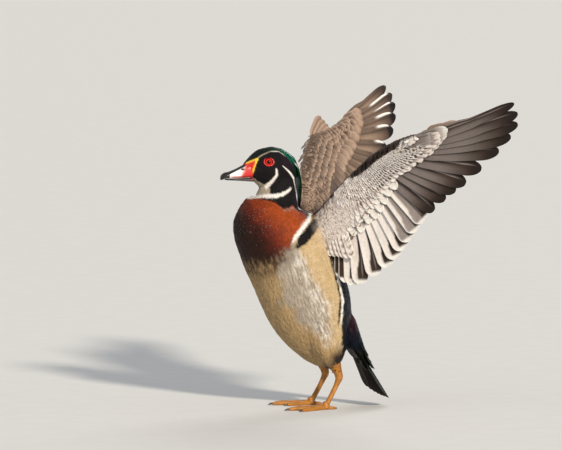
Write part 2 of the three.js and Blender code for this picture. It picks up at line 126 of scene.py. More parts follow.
TAIL = {"feathers": 14, "length": 112, "start": 24, "fan": 21, "width": 14, "top": 1.8, "step": 4.2}
RUMP = [(-20, 22, 16), (0, 27, 17), (22, 25, 13), (42, 20, 8), (62, 14, 3)]
# x, y, z, radius
LEG = [
    (-12, 27, 108, 22), (-4, 28, 84, 19), (6, 29, 62, 11), (13, 30.5, 46, 5.6), (15, 31, 38, 4.6),
    (12.5, 31.4, 31, 3.3), (7, 32, 20, 2.9), (1, 32.8, 9, 3.1), (-2, 33, 2, 3.6),
]
FOOT_JOINT = (-2, 33)
TOES = {"inner": 39, "middle": 51, "outer": 46, "hind": 13, "spread": 27, "turn": 6, "radius": 3.1}

# Wing: its plane runs along the span and the chord from the shoulder
SHOULDER = np.array([-13.0, -40.0, 226.0])
SPAN = np.array([0.5845, -0.7399, 0.333])
CHORD_HINT = np.array([0.384, -0.109, -0.917])
RIGHT_ROLL = math.radians(14)
RIGHT_LEAD = 13.0
WING_TIP = (318, -44)
WRIST = (108, -43)
HAND_END = (164, -47)
INNER_END = (30, 0)
PRIMARIES = 10
SECONDARIES = 9
TERTIALS = 3
CAMBER = 8.0
TIP_LINE = [
    (318, -44), (311, -21), (276, -1), (217, 20), (183, 29), (143, 43), (115, 57), (89, 71),
    (61, 82), (18, 88), (2, 80), (-6, 66),
]
# Span, leading edge, trailing edge, half thickness
WING_CORE = [
    (-22, 0, 34, 4), (-12, -9, 40, 8), (4, -14, 40, 8), (30, -25, 30, 6.5), (60, -36, 12, 5.5),
    (90, -46, -12, 5), (112, -52, -27, 4.5), (140, -55.5, -36, 3.5), (166, -56, -41, 2.6),
    (180, -55, -45, 1.2),
]

# Camera: the photo's scale, and where its middle looks, in the bird's frame
PHOTO = {"width": 562, "mm_a_pixel": 1.2, "azimuth": -15.0, "elevation": 3.5}
AIM = (-46.8, 218.4)
CAMERA_AWAY = 7.0
SENSOR = 36
# Name, place, angle, strength, colour
LAMPS = [
    ("key", (0.5, -2.8, 1.5), 0.1, 3.6, "fff3e2"),
    ("fill", (-2.4, -1.2, 1.6), 0.8, 0.25, "eaf1ff"),
    ("rim", (1.6, 2.4, 1.9), 0.5, 0.8, "ffffff"),
]
WORLD_LIGHT = 0.44
FLOOR_RADIUS = 45.0

# Colours that the panel doesn't show
INKS = {
    "smudge": "3f2a18",
    "maroon": "3a0f1c",
    # Painted shade on the low front of the breast
    "breast front painted shade": "2a140c",
    "crown sheen": "12806a",
    # Painted shade on the throat's white, under the chin and just above the collar
    "throat painted shade": "97886f",
    "throat deep painted shade": "76706a",
    "fine bar": "3a2a18",
    "rosy lining": "b08f80",
    "lining spot": "7d5a49",
    "feather core": "2c1c13",
    "hand grey": "857a75",
    "median grey": "9d908a",
    "lesser spot": "6b4c3c",
    "axillary bar": "77594a",
    "bill white": "f6f2ef",
    "bill pink": "cf5a50",
    "bill black": "15100f",
    "nail": "2c2522",
    # Painted shade in the nostril pit and along the bill's groove
    "nostril": "240c0a",
    "bill groove painted shade": "5a2a26",
    "lower bill": "151010",
    "lower bill edge": "b98c80",
    "iris": "c81708",
    "iris rim": "5a0804",
    "iris glow": "d8401c",
    "pupil": "030202",
    "eye back": "060303",
    # Painted shade in the crease round the eye ring
    "ring crease painted shade": "5e0d08",
    "leg shadow": "7c4a14",
    "leg top": "3b2c1c",
    "claw root": "4a3a2c",
    "claw tip": "15110e",
    "floor": "dcdcda",
    "floor light": "e4e4e2",
    "sky": "dfe3e8",
}


# Numbers in rows

def curve(rows, t):
    """Points on the smooth curve through rows, at t from 0 to 1."""
    rows = np.asarray(rows, float)
    t = np.atleast_1d(t) * (len(rows) - 1)
    first = np.clip(np.floor(t).astype(int), 0, len(rows) - 2)
    w = (t - first)[:, None]
    ends = np.vstack([2 * rows[0] - rows[1], rows, 2 * rows[-1] - rows[-2]])
    a, b, c, d = (ends[first + i] for i in range(4))
    out, back = (c - a) / 2, (d - b) / 2
    cubic = (2 * b - 2 * c + out + back) * w**3
    return cubic + (-3 * b + 3 * c - 2 * out - back) * w**2 + out * w + b


def step(x, low, high):
    t = np.clip((x - low) / (high - low), 0, 1)
    return t * t * (3 - 2 * t)


def unit(v):
    v = np.asarray(v, float)
    return v / np.maximum(np.linalg.norm(v, axis=-1, keepdims=True), 1e-9)


def mix(a, b, share):
    """A colour, or rows of them, turned into b by a share from 0 to 1."""
    share = np.asarray(share)[..., None]
    return a * (1 - share) + np.asarray(b, float) * share


def between(a, b, t):
    a, b = np.asarray(a, float), np.asarray(b, float)
    return a + (b - a) * t


def scatter(points, size, seed=0):
    """Smooth noise from 0 to 1, with blobs about size across."""
    p = np.asarray(points, float) / size + seed * 17.3
    cell = np.floor(p).astype(np.int64)
    w = p - cell
    w = w * w * (3 - 2 * w)
    total = 0
    for corner in range(8):
        bits = np.array([corner & 1, corner >> 1 & 1, corner >> 2 & 1])
        c = cell + bits
        key = c[..., 0] * 73856093 ^ c[..., 1] * 19349663 ^ c[..., 2] * 83492791
        value = np.abs(np.sin((key % 100003) * 12.9898)) * 43758.5453 % 1
        total = total + value * np.prod(np.where(bits, w, 1 - w), axis=-1)
    return total


def circle(count):
    """Angles once round a ring."""
    return np.linspace(0, 2 * math.pi, count, endpoint=False)


def end_round(t, share=0.08):
    near = np.minimum(np.minimum(t, 1 - t), share) / share
    return np.sqrt(np.maximum(0, 1 - (1 - near) ** 2))


# Meshes from rings of points

def ring_faces(rings, around):
    r, c = np.meshgrid(np.arange(rings - 1), np.arange(around), indexing="ij")
    near = r * around + c
    far = r * around + (c + 1) % around
    return np.stack([near, far, far + around, near + around], -1).reshape(-1, 4)


class Parts:
    """Vertices, faces and values of one piece, gathered part by part."""

    def __init__(self):
        self.points, self.faces, self.values = [], [], {}
        self.count = 0

    def add(self, points, faces, **values):
        points = np.asarray(points, float).reshape(-1, 3)
        self.points.append(points)
        self.faces += (np.asarray(faces, int) + self.count).tolist()
        self.count += len(points)
        for name, value in values.items():
            self.values.setdefault(name, []).append(np.asarray(value, float))

    def loft(self, grid, **values):
        """Adds rings of points, closed at both ends."""
        rings, around = grid.shape[:2]
        start = self.count
        last = start + (rings - 1) * around
        self.add(grid, ring_faces(rings, around), **values)
        self.faces += [list(range(start, start + around)), list(range(last, last + around))]

    def mesh(self, name):
        points = np.vstack(self.points) * MM + SHIFT
        made = bpy.data.meshes.new(name)
        made.from_pydata(points.tolist(), [], self.faces)
        for key, blocks in self.values.items():
            set_value(made, key, np.concatenate(blocks))
        return made


def set_value(mesh, name, value):
    """Stores one value, vector or colour for each vertex."""
    value = np.asarray(value, float)
    width = 1 if value.ndim == 1 else value.shape[1]
    if name == "vane":
        return set_map(mesh, name, value)
    if name == "tint":
        value = np.column_stack([value, np.ones(len(value))])
        kind, field = "FLOAT_COLOR", "color"
    else:
        kind, field = ("FLOAT", "value") if width == 1 else ("FLOAT_VECTOR", "vector")
    old = mesh.attributes.get(name)
    if old:
        mesh.attributes.remove(old)
    made = mesh.attributes.new(name, kind, "POINT")
    made.data.foreach_set(field, value.astype(np.float32).ravel())


def get_value(mesh, name, field="vector"):
    """The vectors, or with field "value" the numbers, that a mesh stores for each vertex."""
    data = mesh.attributes[name].data
    width = 3 if field == "vector" else 1
    out = np.empty(len(data) * width, np.float32)
    data.foreach_get(field, out)
    return out.reshape(-1, 3).astype(float) if width == 3 else out


def corners_of(mesh):
    corner = np.empty(len(mesh.loops), np.int32)
    mesh.loops.foreach_get("vertex_index", corner)
    return corner


def set_map(mesh, name, value):
    """Stores a flat map from two values for each vertex."""
    layer = mesh.uv_layers.get(name) or mesh.uv_layers.new(name=name)
    flat = np.asarray(value, np.float32)[corners_of(mesh)]
    layer.data.foreach_set("uv", np.ascontiguousarray(flat).ravel())


def points_of(mesh):
    out = np.empty(len(mesh.vertices) * 3, np.float32)
    mesh.vertices.foreach_get("co", out)
    return (out.reshape(-1, 3).astype(float) - SHIFT) / MM


def set_material(mesh, look):
    mesh.materials.clear()
    mesh.materials.append(look)


def new_object(name, mesh, look=None):
    thing = bpy.data.objects.new(name, mesh)
    bpy.context.scene.collection.objects.link(thing)
    if look:
        set_material(mesh, look)
    mesh.polygons.foreach_set("use_smooth", [True] * len(mesh.polygons))
    mesh.update()
    return thing


def faced_out(mesh):
    """Turns the faces of closed shells outwards."""
    work = bmesh.new()
    work.from_mesh(mesh)
    bmesh.ops.recalc_face_normals(work, faces=work.faces)
    work.to_mesh(mesh)
    work.free()
    return mesh


def finish_piece(thing, slot, *nodes):
    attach(thing, "root")
    if nodes:
        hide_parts(*nodes)


def build_piece(parts, name, look, slot, *nodes, feathered=False):
    """One visible piece from its gathered parts."""
    mesh = faced_out(parts.mesh(name))
    if feathered:
        bake_map(mesh, points_of(mesh), vane_of(mesh))
    finish_piece(new_object(name, mesh, material(look)), slot, *nodes)


def settled(thing):
    """The object's mesh with its modifiers applied and removed."""
    bpy.context.view_layer.update()
    graph = bpy.context.evaluated_depsgraph_get()
    made = bpy.data.meshes.new_from_object(
        thing.evaluated_get(graph), preserve_all_data_layers=True, depsgraph=graph
    )
    thing.modifiers.clear()
    thing.data = made
    return made


# Shapes of the flesh

def loft(rows, grow, around=72, rings=72, run=None):
    """Round sections about a spine in the XZ plane, square to it or to one direction."""
    t = np.linspace(0, 1, rings + 1)
    x, z, wide, deep = curve(rows, t).T
    if run is None:
        spine = [r[:2] for r in rows]
        run = unit(curve(spine, np.minimum(1, t + 0.01)) - curve(spine, np.maximum(0, t - 0.01)))
    else:
        run = np.tile(run, (rings + 1, 1))
    angle = circle(around)
    opened = end_round(t)
    side = np.sin(angle)[None, :] * (wide + grow)[:, None] * opened[:, None]
    back = np.cos(angle)[None, :] * (deep + grow)[:, None] * opened[:, None]
    return np.stack([x[:, None] + run[:, 1:2] * back, side, z[:, None] - run[:, 0:1] * back], -1)


def torso_loft(grow):
    rows = []
    for along, back, wide, deep in TORSO:
        x, _, z = RUMP_END + BODY_RUN * along + BODY_BACK * back
        rows.append((x, z, wide, deep))
    return loft(rows, grow, 120, 110, BODY_RUN[[0, 2]])


def limb(points, around, rings):
    """Round sections along a path of x, y, z and radius."""
    t = np.linspace(0, 1, rings + 1)
    rows = curve(points, t)
    along = unit(curve(points, np.minimum(1, t + 0.01)) - curve(points, np.maximum(0, t - 0.01)))
    along = unit(along[:, :3])
    side = unit(np.cross([0.0, 1.0, 0.0], along))
    front = np.cross(along, side)
    angle = circle(around)
    opened = (end_round(t, 0.12) * rows[:, 3])[:, None, None]
    ring = np.cos(angle)[None, :, None] * side[:, None] + np.sin(angle)[None, :, None] * front[:, None]
    return rows[:, None, :3] + ring * opened


def on_tail(along, side, up):
    roof = np.asarray(up) - np.asarray(side) ** 2 / 260
    p = TAIL_ROOT + np.multiply.outer(along, TAIL_RUN) + np.multiply.outer(roof, TAIL_FACE)
    p[..., 1] += side
    return p


def rump(grow):
    t = np.linspace(0, 1, 37)
    along, wide, thick = curve(RUMP, t).T
    opened = end_round(t, 0.15)[:, None]
    angle = circle(64)[None, :]
    side = np.sin(angle) * (wide[:, None] + grow) * opened
    up = np.cos(angle) * np.maximum(thick[:, None] + grow, 0.8) * opened
    return on_tail(np.broadcast_to(along[:, None], side.shape), side, up)


def turned(v, axis, angle):
    c, s = math.cos(angle), math.sin(angle)
    return v * c + np.cross(axis, v) * s + axis * (axis @ v) * (1 - c)


class Wing:
    """One wing's own plane, from its shoulder: along the span, the chord, and up from its back."""

    def __init__(self, side):
        self.side = side
        mirror = np.array([1.0, -side, 1.0])
        span = unit(SPAN) * mirror
        chord = CHORD_HINT * mirror
        chord = unit(chord - span * (chord @ span))
        face = -side * np.cross(span, chord)
        line = unit(span * WING_TIP[0] + chord * WING_TIP[1])
        if side > 0:
            span, chord, face = (turned(v, line, -RIGHT_ROLL) for v in (span, chord, face))
        self.origin = SHOULDER * mirror
        self.span, self.chord, self.face = span, chord, face

    def lead(self, a):
        if self.side < 0:
            return np.zeros_like(a)
        return RIGHT_LEAD * step(a, -10, 60) * (1 - step(a, 112, 150))

    def front(self, a):
        """The leading edge at a place along the span."""
        return np.interp(a, [r[0] for r in WING_CORE], [r[1] for r in WING_CORE]) - self.lead(a)

    def at(self, a, b, c):
        a, b, c = (value[..., None] for value in np.broadcast_arrays(a, b, c))
        lift = c + CAMBER * (1 - ((b - 5) / 75) ** 2)
        return self.origin + a * self.span + b * self.chord + lift * self.face

    def local(self, points):
        rel = points - self.origin
        a, b = rel @ self.span, rel @ self.chord
        return a, b, rel @ self.face - CAMBER * (1 - ((b - 5) / 75) ** 2)

    def core(self, grow):
        t = np.linspace(0, 1, 81)
        a, front, back, thick = curve(WING_CORE, t).T
        front = front - self.lead(a) - 0.6 * grow
        back = back + 0.6 * grow
        opened = end_round(t, 0.1)[:, None]
        angle = circle(64)[None, :]
        b = (front + back)[:, None] / 2 - np.cos(angle) * opened * (back - front)[:, None] / 2
        c = np.sin(angle) * np.maximum(thick + grow, 0.9)[:, None] * opened
        return self.at(np.broadcast_to(a[:, None], b.shape), b, c)


WINGS = {name: Wing(side) for name, side in SIDES.items()}


# Colours and markings

def tone(code):
    """A colour written in hex, as the shader wants it."""
    value = np.array([int(code[i : i + 2], 16) for i in (0, 2, 4)]) / 255
    return tuple(np.where(value <= 0.04045, value / 12.92, ((value + 0.055) / 1.055) ** 2.4))


def ink(name):
    return np.array(tone(INKS[name]))


def opaque(code):
    return (*tone(code), 1)


def paint(name, description, code):
    return FloatVectorProperty(
        name=name, description=description, subtype="COLOR", size=3, min=0, max=1, default=tone(code)
    )


class WoodDuckColours(bpy.types.PropertyGroup):
    chestnut: paint("Chestnut", "Breast", "6a2413")
    # Painted highlight on the breast's chestnut, towards the white bar
    breast_highlight: paint("Breast highlight", "Side of the breast by the white bar", "a4481a")
    buff: paint("Buff", "Flanks", "ccb082")
    belly: paint("Belly", "Belly feathers", "d9cfc2")
    tan: paint("Tan", "Front of the belly and vent", "b0946a")
    white: paint("White", "Throat, lines of the head and the bar", "efece6")
    black: paint("Black", "Cheeks, neck and back", "0c0b0c")
    green: paint("Green", "Crown and crest", "0d4a33")
    purple: paint("Purple", "Face behind the eye and lower crest", "2a1428")
    blue: paint("Blue", "Secondaries and back", "12243a")
    yellow: paint("Yellow", "Edge of the bill", "e3c02c")
    red: paint("Red", "Bill base and eye ring", "c41f17")
    quill: paint("Quill", "Dark part of the flight feathers", "3b2e27")
    sand: paint("Sand", "Light part of the wing's upper side", "a48c7a")
    silver: paint("Silver", "Outer webs of the primaries", "f2f0ee")
    cover: paint("Wing lining", "Light part of the wing's underside", "e6d8d1")
    leg: paint("Legs", "Legs and toes", "c07f22")


def shade(name):
    return np.array(getattr(bpy.context.scene.wood_duck_colours, name))


BROW = [
    (-80.2, 10.2, 300.7), (-73.5, 10.6, 304.8), (-64.7, 10.1, 308.5), (-53.6, 10, 308.1),
    (-42, 13.5, 299.5), (-29, 13, 288.4), (-24.6, 11, 277), (-22.6, 8.5, 264), (-23, 5, 250),
]
NAPE = [
    (-50.5, 16.9, 291.1), (-41.4, 15.1, 283.1), (-34.9, 9.6, 275), (-32, 8.9, 265),
    (-29.5, 7.6, 253), (-28.8, 11, 244), (-29.5, 16, 238), (-30.5, 22, 234),
]
CHEEK = [(-58.7, 17.6, 287.6), (-57.9, 17, 280.4), (-64.5, 14, 271.4), (-70.1, 11.6, 266)]
BILL_EDGE = [
    (-97, 0, 298), (-92.9, 4.7, 294.6), (-86.4, 8.2, 297.7), (-80.8, 10.4, 299.5),
    (-83.5, 11.1, 292.4), (-86.1, 9.2, 282.8), (-87, 8, 276),
]
LOBE = [
    (-99, 290), (-93, 294.4), (-86.4, 297.4), (-80.5, 299.4), (-82, 294), (-84.2, 289),
    (-86.2, 281.5), (-86, 275), (-99, 273),
]
THROAT = [
    (-100, 279), (-85.4, 278), (-78.8, 272.3), (-72, 269), (-67, 268), (-66, 264), (-66.5, 259),
    (-64, 257.5), (-55, 258.6), (-47, 261.8), (-42, 264.6), (-38.8, 264.6), (-42, 260.6),
    (-50, 256), (-60, 253), (-75, 253.4), (-90, 252), (-100, 251),
]
PURPLE_PATCH = [(-52, 303), (-44, 301), (-34, 292), (-36, 284), (-46, 289), (-50, 294)]
WHITE_BAR = [
    (-12, 14, 237), (-17.8, 23.9, 232.5), (-32.5, 45.9, 222), (-44.1, 52.6, 209.5),
    (-50, 53.5, 201.5),
]
BLACK_BAR = [(-6, 20, 233), (-22, 43.8, 218.5), (-36, 51.5, 205.5), (-43, 54, 197)]
# x and z of the green crown's lower edge, then of the other edges of the pattern
CROWN_EDGE = (
    [-92, -80.2, -73.5, -64.7, -53.6, -46, -42.3, -38, -34.5, -31, -29],
    [296, 300.7, 304.8, 308.5, 308.1, 304, 299, 291, 282, 265, 250],
)
BREAST_TOP = (
    [-100, -89.4, -77, -62.6, -54.3, -46, -39.5, -35, -30, -20],
    [250.5, 252, 252.4, 248, 241, 241.5, 243.4, 238, 236, 238],
)
BREAST_LOW = (
    [-104, -96, -82, -67, -60, -52, -46, -32.5, -17.8, -10],
    [176, 175, 174, 181, 189, 197, 204, 222, 232.5, 238],
)
FLANK_FRONT = ([60, 89, 113, 130, 147, 164, 188, 202, 215], [4, -0.6, -2.4, -4.3, -12, -26, -40, -46, -42])
BELLY_PALE = ([70, 90, 110, 134, 165, 190], [0, -19, -44, -58, -66, -70])
FLANK_BACK = ([60, 102.3, 132.1, 156.2, 180.4, 207, 240], [24, 18.3, 21.1, 15.8, 9, 2, -8])


def near_line(points, line, widths, soft=0.5):
    """1 on a band about a line of points and 0 away from it."""
    line = np.asarray(line, float)
    widths = np.broadcast_to(widths, len(line))
    best = np.full(len(points), 1e9)
    for a, b, wa, wb in zip(line[:-1], line[1:], widths[:-1], widths[1:]):
        run = b - a
        t = np.clip((points - a) @ run / (run @ run), 0, 1)
        away = np.linalg.norm(points - a - t[:, None] * run, axis=1)
        best = np.minimum(best, away - (wa + (wb - wa) * t))
    return 1 - step(best, -soft, soft)


def inside(points, corners, soft=0.6):
    """1 within a closed outline in the flat and 0 outside it."""
    corners = np.asarray(corners, float)
    x, z = points[:, 0], points[:, 1]
    odd = np.zeros(len(points), bool)
    best = np.full(len(points), 1e9)
    for a, b in zip(corners, np.roll(corners, -1, axis=0)):
        run = b - a
        t = np.clip((points - a) @ run / (run @ run), 0, 1)
        best = np.minimum(best, np.linalg.norm(points - a - t[:, None] * run, axis=1))
        crosses = (a[1] > z) != (b[1] > z)
        with np.errstate(divide="ignore", invalid="ignore"):
            at = a[0] + run[0] * (z - a[1]) / run[1]
        odd ^= crosses & (x < at)
    return step(np.where(odd, best, -best), -soft, soft)


def body_markings(p):
    """Colour and (gloss, fine bars, bare skin) of the head, neck and body."""
    x, z = p[:, 0], p[:, 2]
    side = np.column_stack([x, np.abs(p[:, 1]), z])
    flat = p[:, [0, 2]]
    rag = scatter(p, 2.2, 1) - 0.5
    blotch = scatter(p, 9, 2) - 0.5
    gloss, bars = np.zeros(len(p)), np.zeros(len(p))

    strand = np.column_stack([p @ BODY_RUN / 6, p[:, 1], p @ BODY_BACK])
    streak = scatter(strand, 1.3, 3)
    low_edge, top_edge = np.interp(x, *BREAST_LOW), np.interp(x, *BREAST_TOP)
    front = np.interp(z, *FLANK_FRONT)
    pale_from = np.interp(z, *BELLY_PALE)
    pale = step(x + 16 * blotch + 3 * rag, pale_from - 8, pale_from + 10) * step(z + 20 * blotch, 66, 92)
    # The pale middle of the belly is the belly colour dimmed to grey: painted shade on the underside
    colour = mix(shade("tan"), shade("belly") * 0.55, 0.8 * pale)
    fringe = pale * step(x + 8 * blotch, front - 30, front - 10) * step(streak, 0.42, 0.62)
    colour = mix(colour, shade("white"), 0.5 * fringe)
    colour = colour * (0.74 + 0.44 * streak)[:, None]
    smudge = step(low_edge - z + 14 * blotch, 30, 2) * (0.35 + 0.9 * step(streak, 0.3, 0.6))
    colour = mix(colour, ink("smudge"), np.clip(0.7 * smudge, 0, 1))

    flank = step(x + 9 * rag + 10 * blotch, front - 7, front + 9) * step(z, 68, 84)
    colour = mix(colour, shade("buff"), flank * 0.85)
    bars = bars + 0.45 * flank
    back_line = np.interp(z, *FLANK_BACK)
    ahead = back_line - x + 2.5 * rag
    edge = step(z, 96, 112) * (1 - step(z, 205, 215))
    colour = mix(colour, shade("black"), edge * step(ahead, 9, 7.6) * step(ahead, 5, 6.2))
    colour = mix(colour, shade("white"), edge * step(ahead, 5.6, 4.8) * step(ahead, 1.6, 2.4))
    bars = bars * (1 - step(ahead, 10, 8))
    back = step(-ahead, -2.2, -1)
    dark = mix(shade("black"), shade("blue"), 0.3 * step(z, 200, 150) + 0.3 * blotch)
    maroon = np.exp(-(((x - 38) / 9) ** 2) - ((z - 104) / 12) ** 2)
    dark = mix(dark, ink("maroon"), maroon)
    colour = mix(colour, dark, back)
    vent = step(z, 76, 62) * step(x, -4, 10)
    colour = mix(colour, shade("quill") * 0.5, vent)
    gloss = gloss + 0.75 * back

    loose = 2 + 8 * step(x, -46, -66)
    breast = step(z + 4 * rag + 1.4 * loose * (streak - 0.5), low_edge - loose, low_edge + loose)
    # Painted light and shade over the breast: darkest at the low front, with a painted highlight towards
    # the white bar and upwards
    glow = 0.8 * (x + 46) + 0.6 * (z - 215) + 8 * blotch
    chestnut = mix(ink("breast front painted shade"), shade("chestnut"), step(glow, -42, -14))
    chestnut = mix(chestnut, shade("breast_highlight"), 0.85 * step(glow, -26, 4))
    chestnut = chestnut * (0.8 + 0.4 * streak)[:, None]
    colour = mix(colour, chestnut, breast)
    for value in (gloss, bars):
        value *= 1 - breast
    neck = step(z + 1.5 * rag, top_edge - 0.8, top_edge + 0.8)
    behind = step(x + 3 * rag, -30, -25) * step(z, low_edge - 2, low_edge + 4)
    night = mix(shade("black"), shade("purple"), np.clip(0.08 + 0.2 * blotch, 0, 1))
    buff_edge = step(x, -60, -54) * step(top_edge - z, 3.4, 1.8) * (1 - neck) * (1 - step(x, -38, -34))
    colour = mix(colour, shade("belly") * 0.6, 0.5 * buff_edge * breast * step(rag, -0.2, 0.1))
    neck = np.maximum(neck, behind)
    colour = mix(colour, night, neck)
    gloss = np.maximum(gloss * (1 - neck), 0.2 * neck)

    brow_z = np.interp(x, *CROWN_EDGE)
    crown = step(z + rag, brow_z - 1, brow_z + 1) * (0.12 + 0.88 * step(x, -70, -44))
    crown = crown * step(z, 246, 256)
    shoulder = behind * step(rag + 0.6 * blotch, -0.05, 0.25) * step(side[:, 1], 12, 19)
    colour = mix(colour, shade("sand"), 0.7 * shoulder)
    colour = mix(colour, shade("green"), crown)
    colour = mix(colour, ink("crown sheen"), 0.5 * crown * step(x, -56, -42) * step(z, 285, 300))
    gloss = np.maximum(gloss, crown)
    violet = inside(flat, PURPLE_PATCH, 1.8)
    violet = np.maximum(0.45 * violet, 0.3 * step(z, 262, 250) * step(x, -40, -34) * step(z, 228, 234))
    colour = mix(colour, shade("purple"), violet)
    white = inside(flat + 0.8 * rag[:, None], THROAT)
    white = np.maximum(white, near_line(side, CHEEK, [0.9, 1.5, 2.0, 3.4]))
    white = np.maximum(white, near_line(side, BROW, [0.9, 0.75, 0.75, 0.5, 0.1, 1.1, 1.6, 1.5, -0.5]))
    white = np.maximum(white, near_line(side, NAPE, [0.5, 1.2, 1.4, 1.6, 1.6, 1.7, 1.6, 1.3]))
    black_bar = near_line(side + 5 * rag[:, None], BLACK_BAR, [4, 6.4, 6.6, 2.5], 1.2)
    colour = mix(colour, shade("black"), black_bar)
    white = np.maximum(white, near_line(side + rag[:, None], WHITE_BAR, [0.6, 2.4, 2.8, 2.5, 1], 0.8))
    bar_line = np.interp(x, [-90, -81, -70, -58, -48], [249, 250.5, 252.5, 254, 254])
    # Painted shade on the front of the throat above the collar bar, greyer just above the collar
    throat_shade = step(z + 1.5 * rag, bar_line + 4, bar_line + 6.5)
    throat_shade = throat_shade * (1 - near_line(side, CHEEK, [0.9, 1.5, 2.0, 2.6]))
    throat_shade = throat_shade * step(x, -60, -66)
    throat = mix(shade("white"), ink("throat painted shade"), 0.85 * throat_shade)
    throat = mix(throat, ink("throat deep painted shade"), 0.4 * throat_shade * step(z, 262, 254))
    colour = colour * (1 - white)[:, None] + throat * white[:, None]
    gloss = gloss * (1 - white) * (1 - black_bar)
    bars = bars * (1 - white) * (1 - black_bar) * (1 - neck)

    rim = near_line(side, BILL_EDGE, [0.8, 1.1, 1.2, 1.5, 1.1, 1, 0.7], 0.4)
    lobe = np.maximum(inside(flat, LOBE, 0.4), rim)
    colour = mix(colour, shade("red"), lobe)
    colour = mix(colour, shade("yellow"), rim)
    lid = step(np.hypot(x - EYE["x"], (z - EYE["z"]) * 1.2), 6.6, 6.0) * step(side[:, 1], 6, 9)
    colour = mix(colour, shade("red") * 0.5, lid)
    bare = np.maximum(lobe, lid)
    return colour, np.column_stack([gloss * (1 - bare), bars, bare])


def wing_edge(a):
    """How wide the dark leading edge is under the wing."""
    return 4.2 + 6.5 * step(a, 58, 90) * step(a, 158, 138)


def wing_markings(wing, p):
    """The same for the skin and small feathers of a wing."""
    a, b, c = wing.local(p)
    into = b - wing.front(a)
    fine = scatter(p, 2.4, 5)
    blotch = scatter(p, 7, 6)
    # The upper leading edge is sand on the far right wing and quill on the near left wing: painted light
    # on one, painted shade on the other
    edge = mix(shade("quill"), shade("sand"), 0.8 if wing.side > 0 else 0.1)
    upper = mix(shade("quill"), shade("sand"), np.clip(0.45 + 0.8 * blotch, 0, 1))
    upper = mix(upper, edge, step(into, 14, 4))
    upper = mix(upper, shade("black"), 0.8 * step(a, 26, 8) * step(into, 8, 20))
    under = mix(shade("cover"), shade("white"), 0.6)
    under = mix(under, ink("rosy lining"), 0.22 * step(a, 90, 40) * step(blotch, -0.1, 0.3))
    wedge = wing_edge(a)
    # The band under the leading edge: dark coverts, with painted shade on the near left wing and painted
    # light on the far right wing
    under_edge_tone_and_light = shade("quill") * 0.8 if wing.side < 0 else shade("sand") * 0.8
    under = mix(under, under_edge_tone_and_light, step(into + 2 * fine, wedge + 1.5, wedge - 0.5))
    over = c + 2 * step(into, 12, 3)
    colour = mix(under, upper, step(over, -0.6, 0.6))
    return colour, np.zeros((len(p), 3))


def wing_share(p):
    """How far a point belongs to either wing, and to which."""
    shares = {}
    for name, wing in WINGS.items():
        a, b, c = wing.local(p)
        near = step(a, -8, 4) * step(np.abs(c), 24, 14) * (p[:, 1] * wing.side > 0)
        shares[name] = near * step(np.abs(b), 70, 60)
    return shares


def markings(p):
    colour, trait = body_markings(p)
    for name, share in wing_share(p).items():
        some = share > 0.001
        if some.any():
            tint, other = wing_markings(WINGS[name], p[some])
            colour[some] = mix(colour[some], tint, share[some])
            trait[some] = mix(trait[some], other, share[some])
    return np.clip(colour, 0, 1), trait


# Shader groups and materials

class Nodes:
    """Short way of placing and joining nodes."""

    def __init__(self, tree):
        self.tree = tree

    def fill(self, node, **inputs):
        """Joins or sets inputs, each by its name or by an underscore and its number."""
        for key, value in inputs.items():
            place = int(key[1:]) if key[1:].isdigit() else key.replace("_", " ")
            if isinstance(value, bpy.types.NodeSocket):
                self.tree.links.new(value, node.inputs[place])
            else:
                node.inputs[place].default_value = value
        return node

    def add(self, kind, settings=None, **inputs):
        node = self.tree.nodes.new(kind)
        node.location = (180 * len(self.tree.nodes), 0)
        for key, value in (settings or {}).items():
            setattr(node, key, value)
        return self.fill(node, **inputs)

    def math(self, operation, first, second=0.0, third=0.0, clamp=False):
        settings = {"operation": operation, "use_clamp": clamp}
        return self.add("ShaderNodeMath", settings, _0=first, _1=second, _2=third).outputs[0]

    def blend(self, share, first, second, kind="MIX"):
        settings = {"data_type": "RGBA", "blend_type": kind}
        return self.add("ShaderNodeMix", settings, _0=share, _6=first, _7=second).outputs[2]

    def times(self, first, second):
        return self.blend(1.0, first, second, "MULTIPLY")

    def grey(self, value):
        return self.add("ShaderNodeCombineColor", _0=value, _1=value, _2=value).outputs[0]

    def stored(self, name, output):
        return self.add("ShaderNodeAttribute", {"attribute_name": name}).outputs[output]

    def group(self, name, build, **inputs):
        tree = bpy.data.node_groups.get(name) or build(name)
        return self.add("ShaderNodeGroup", {"node_tree": tree}, **inputs).outputs

    def bump(self, shader, height, strength, distance):
        made = self.add("ShaderNodeBump", Height=height, Strength=strength, Distance=distance)
        self.fill(shader, Normal=made.outputs[0])


FLOAT, COLOUR, VECTOR, GEOMETRY = (
    "NodeSocket" + kind for kind in ("Float", "Color", "Vector", "Geometry")
)


def new_group(name, ins, outs, kind="ShaderNodeTree"):
    """A group with its inputs and outputs, its nodes and what its inputs give."""
    tree = bpy.data.node_groups.new(name, kind)
    for label, socket, default in ins:
        made = tree.interface.new_socket(label, in_out="INPUT", socket_type=socket)
        if default is not None:
            made.default_value = default
    for label, socket in outs:
        tree.interface.new_socket(label, in_out="OUTPUT", socket_type=socket)
    n = Nodes(tree)
    return tree, n, n.add("NodeGroupInput").outputs


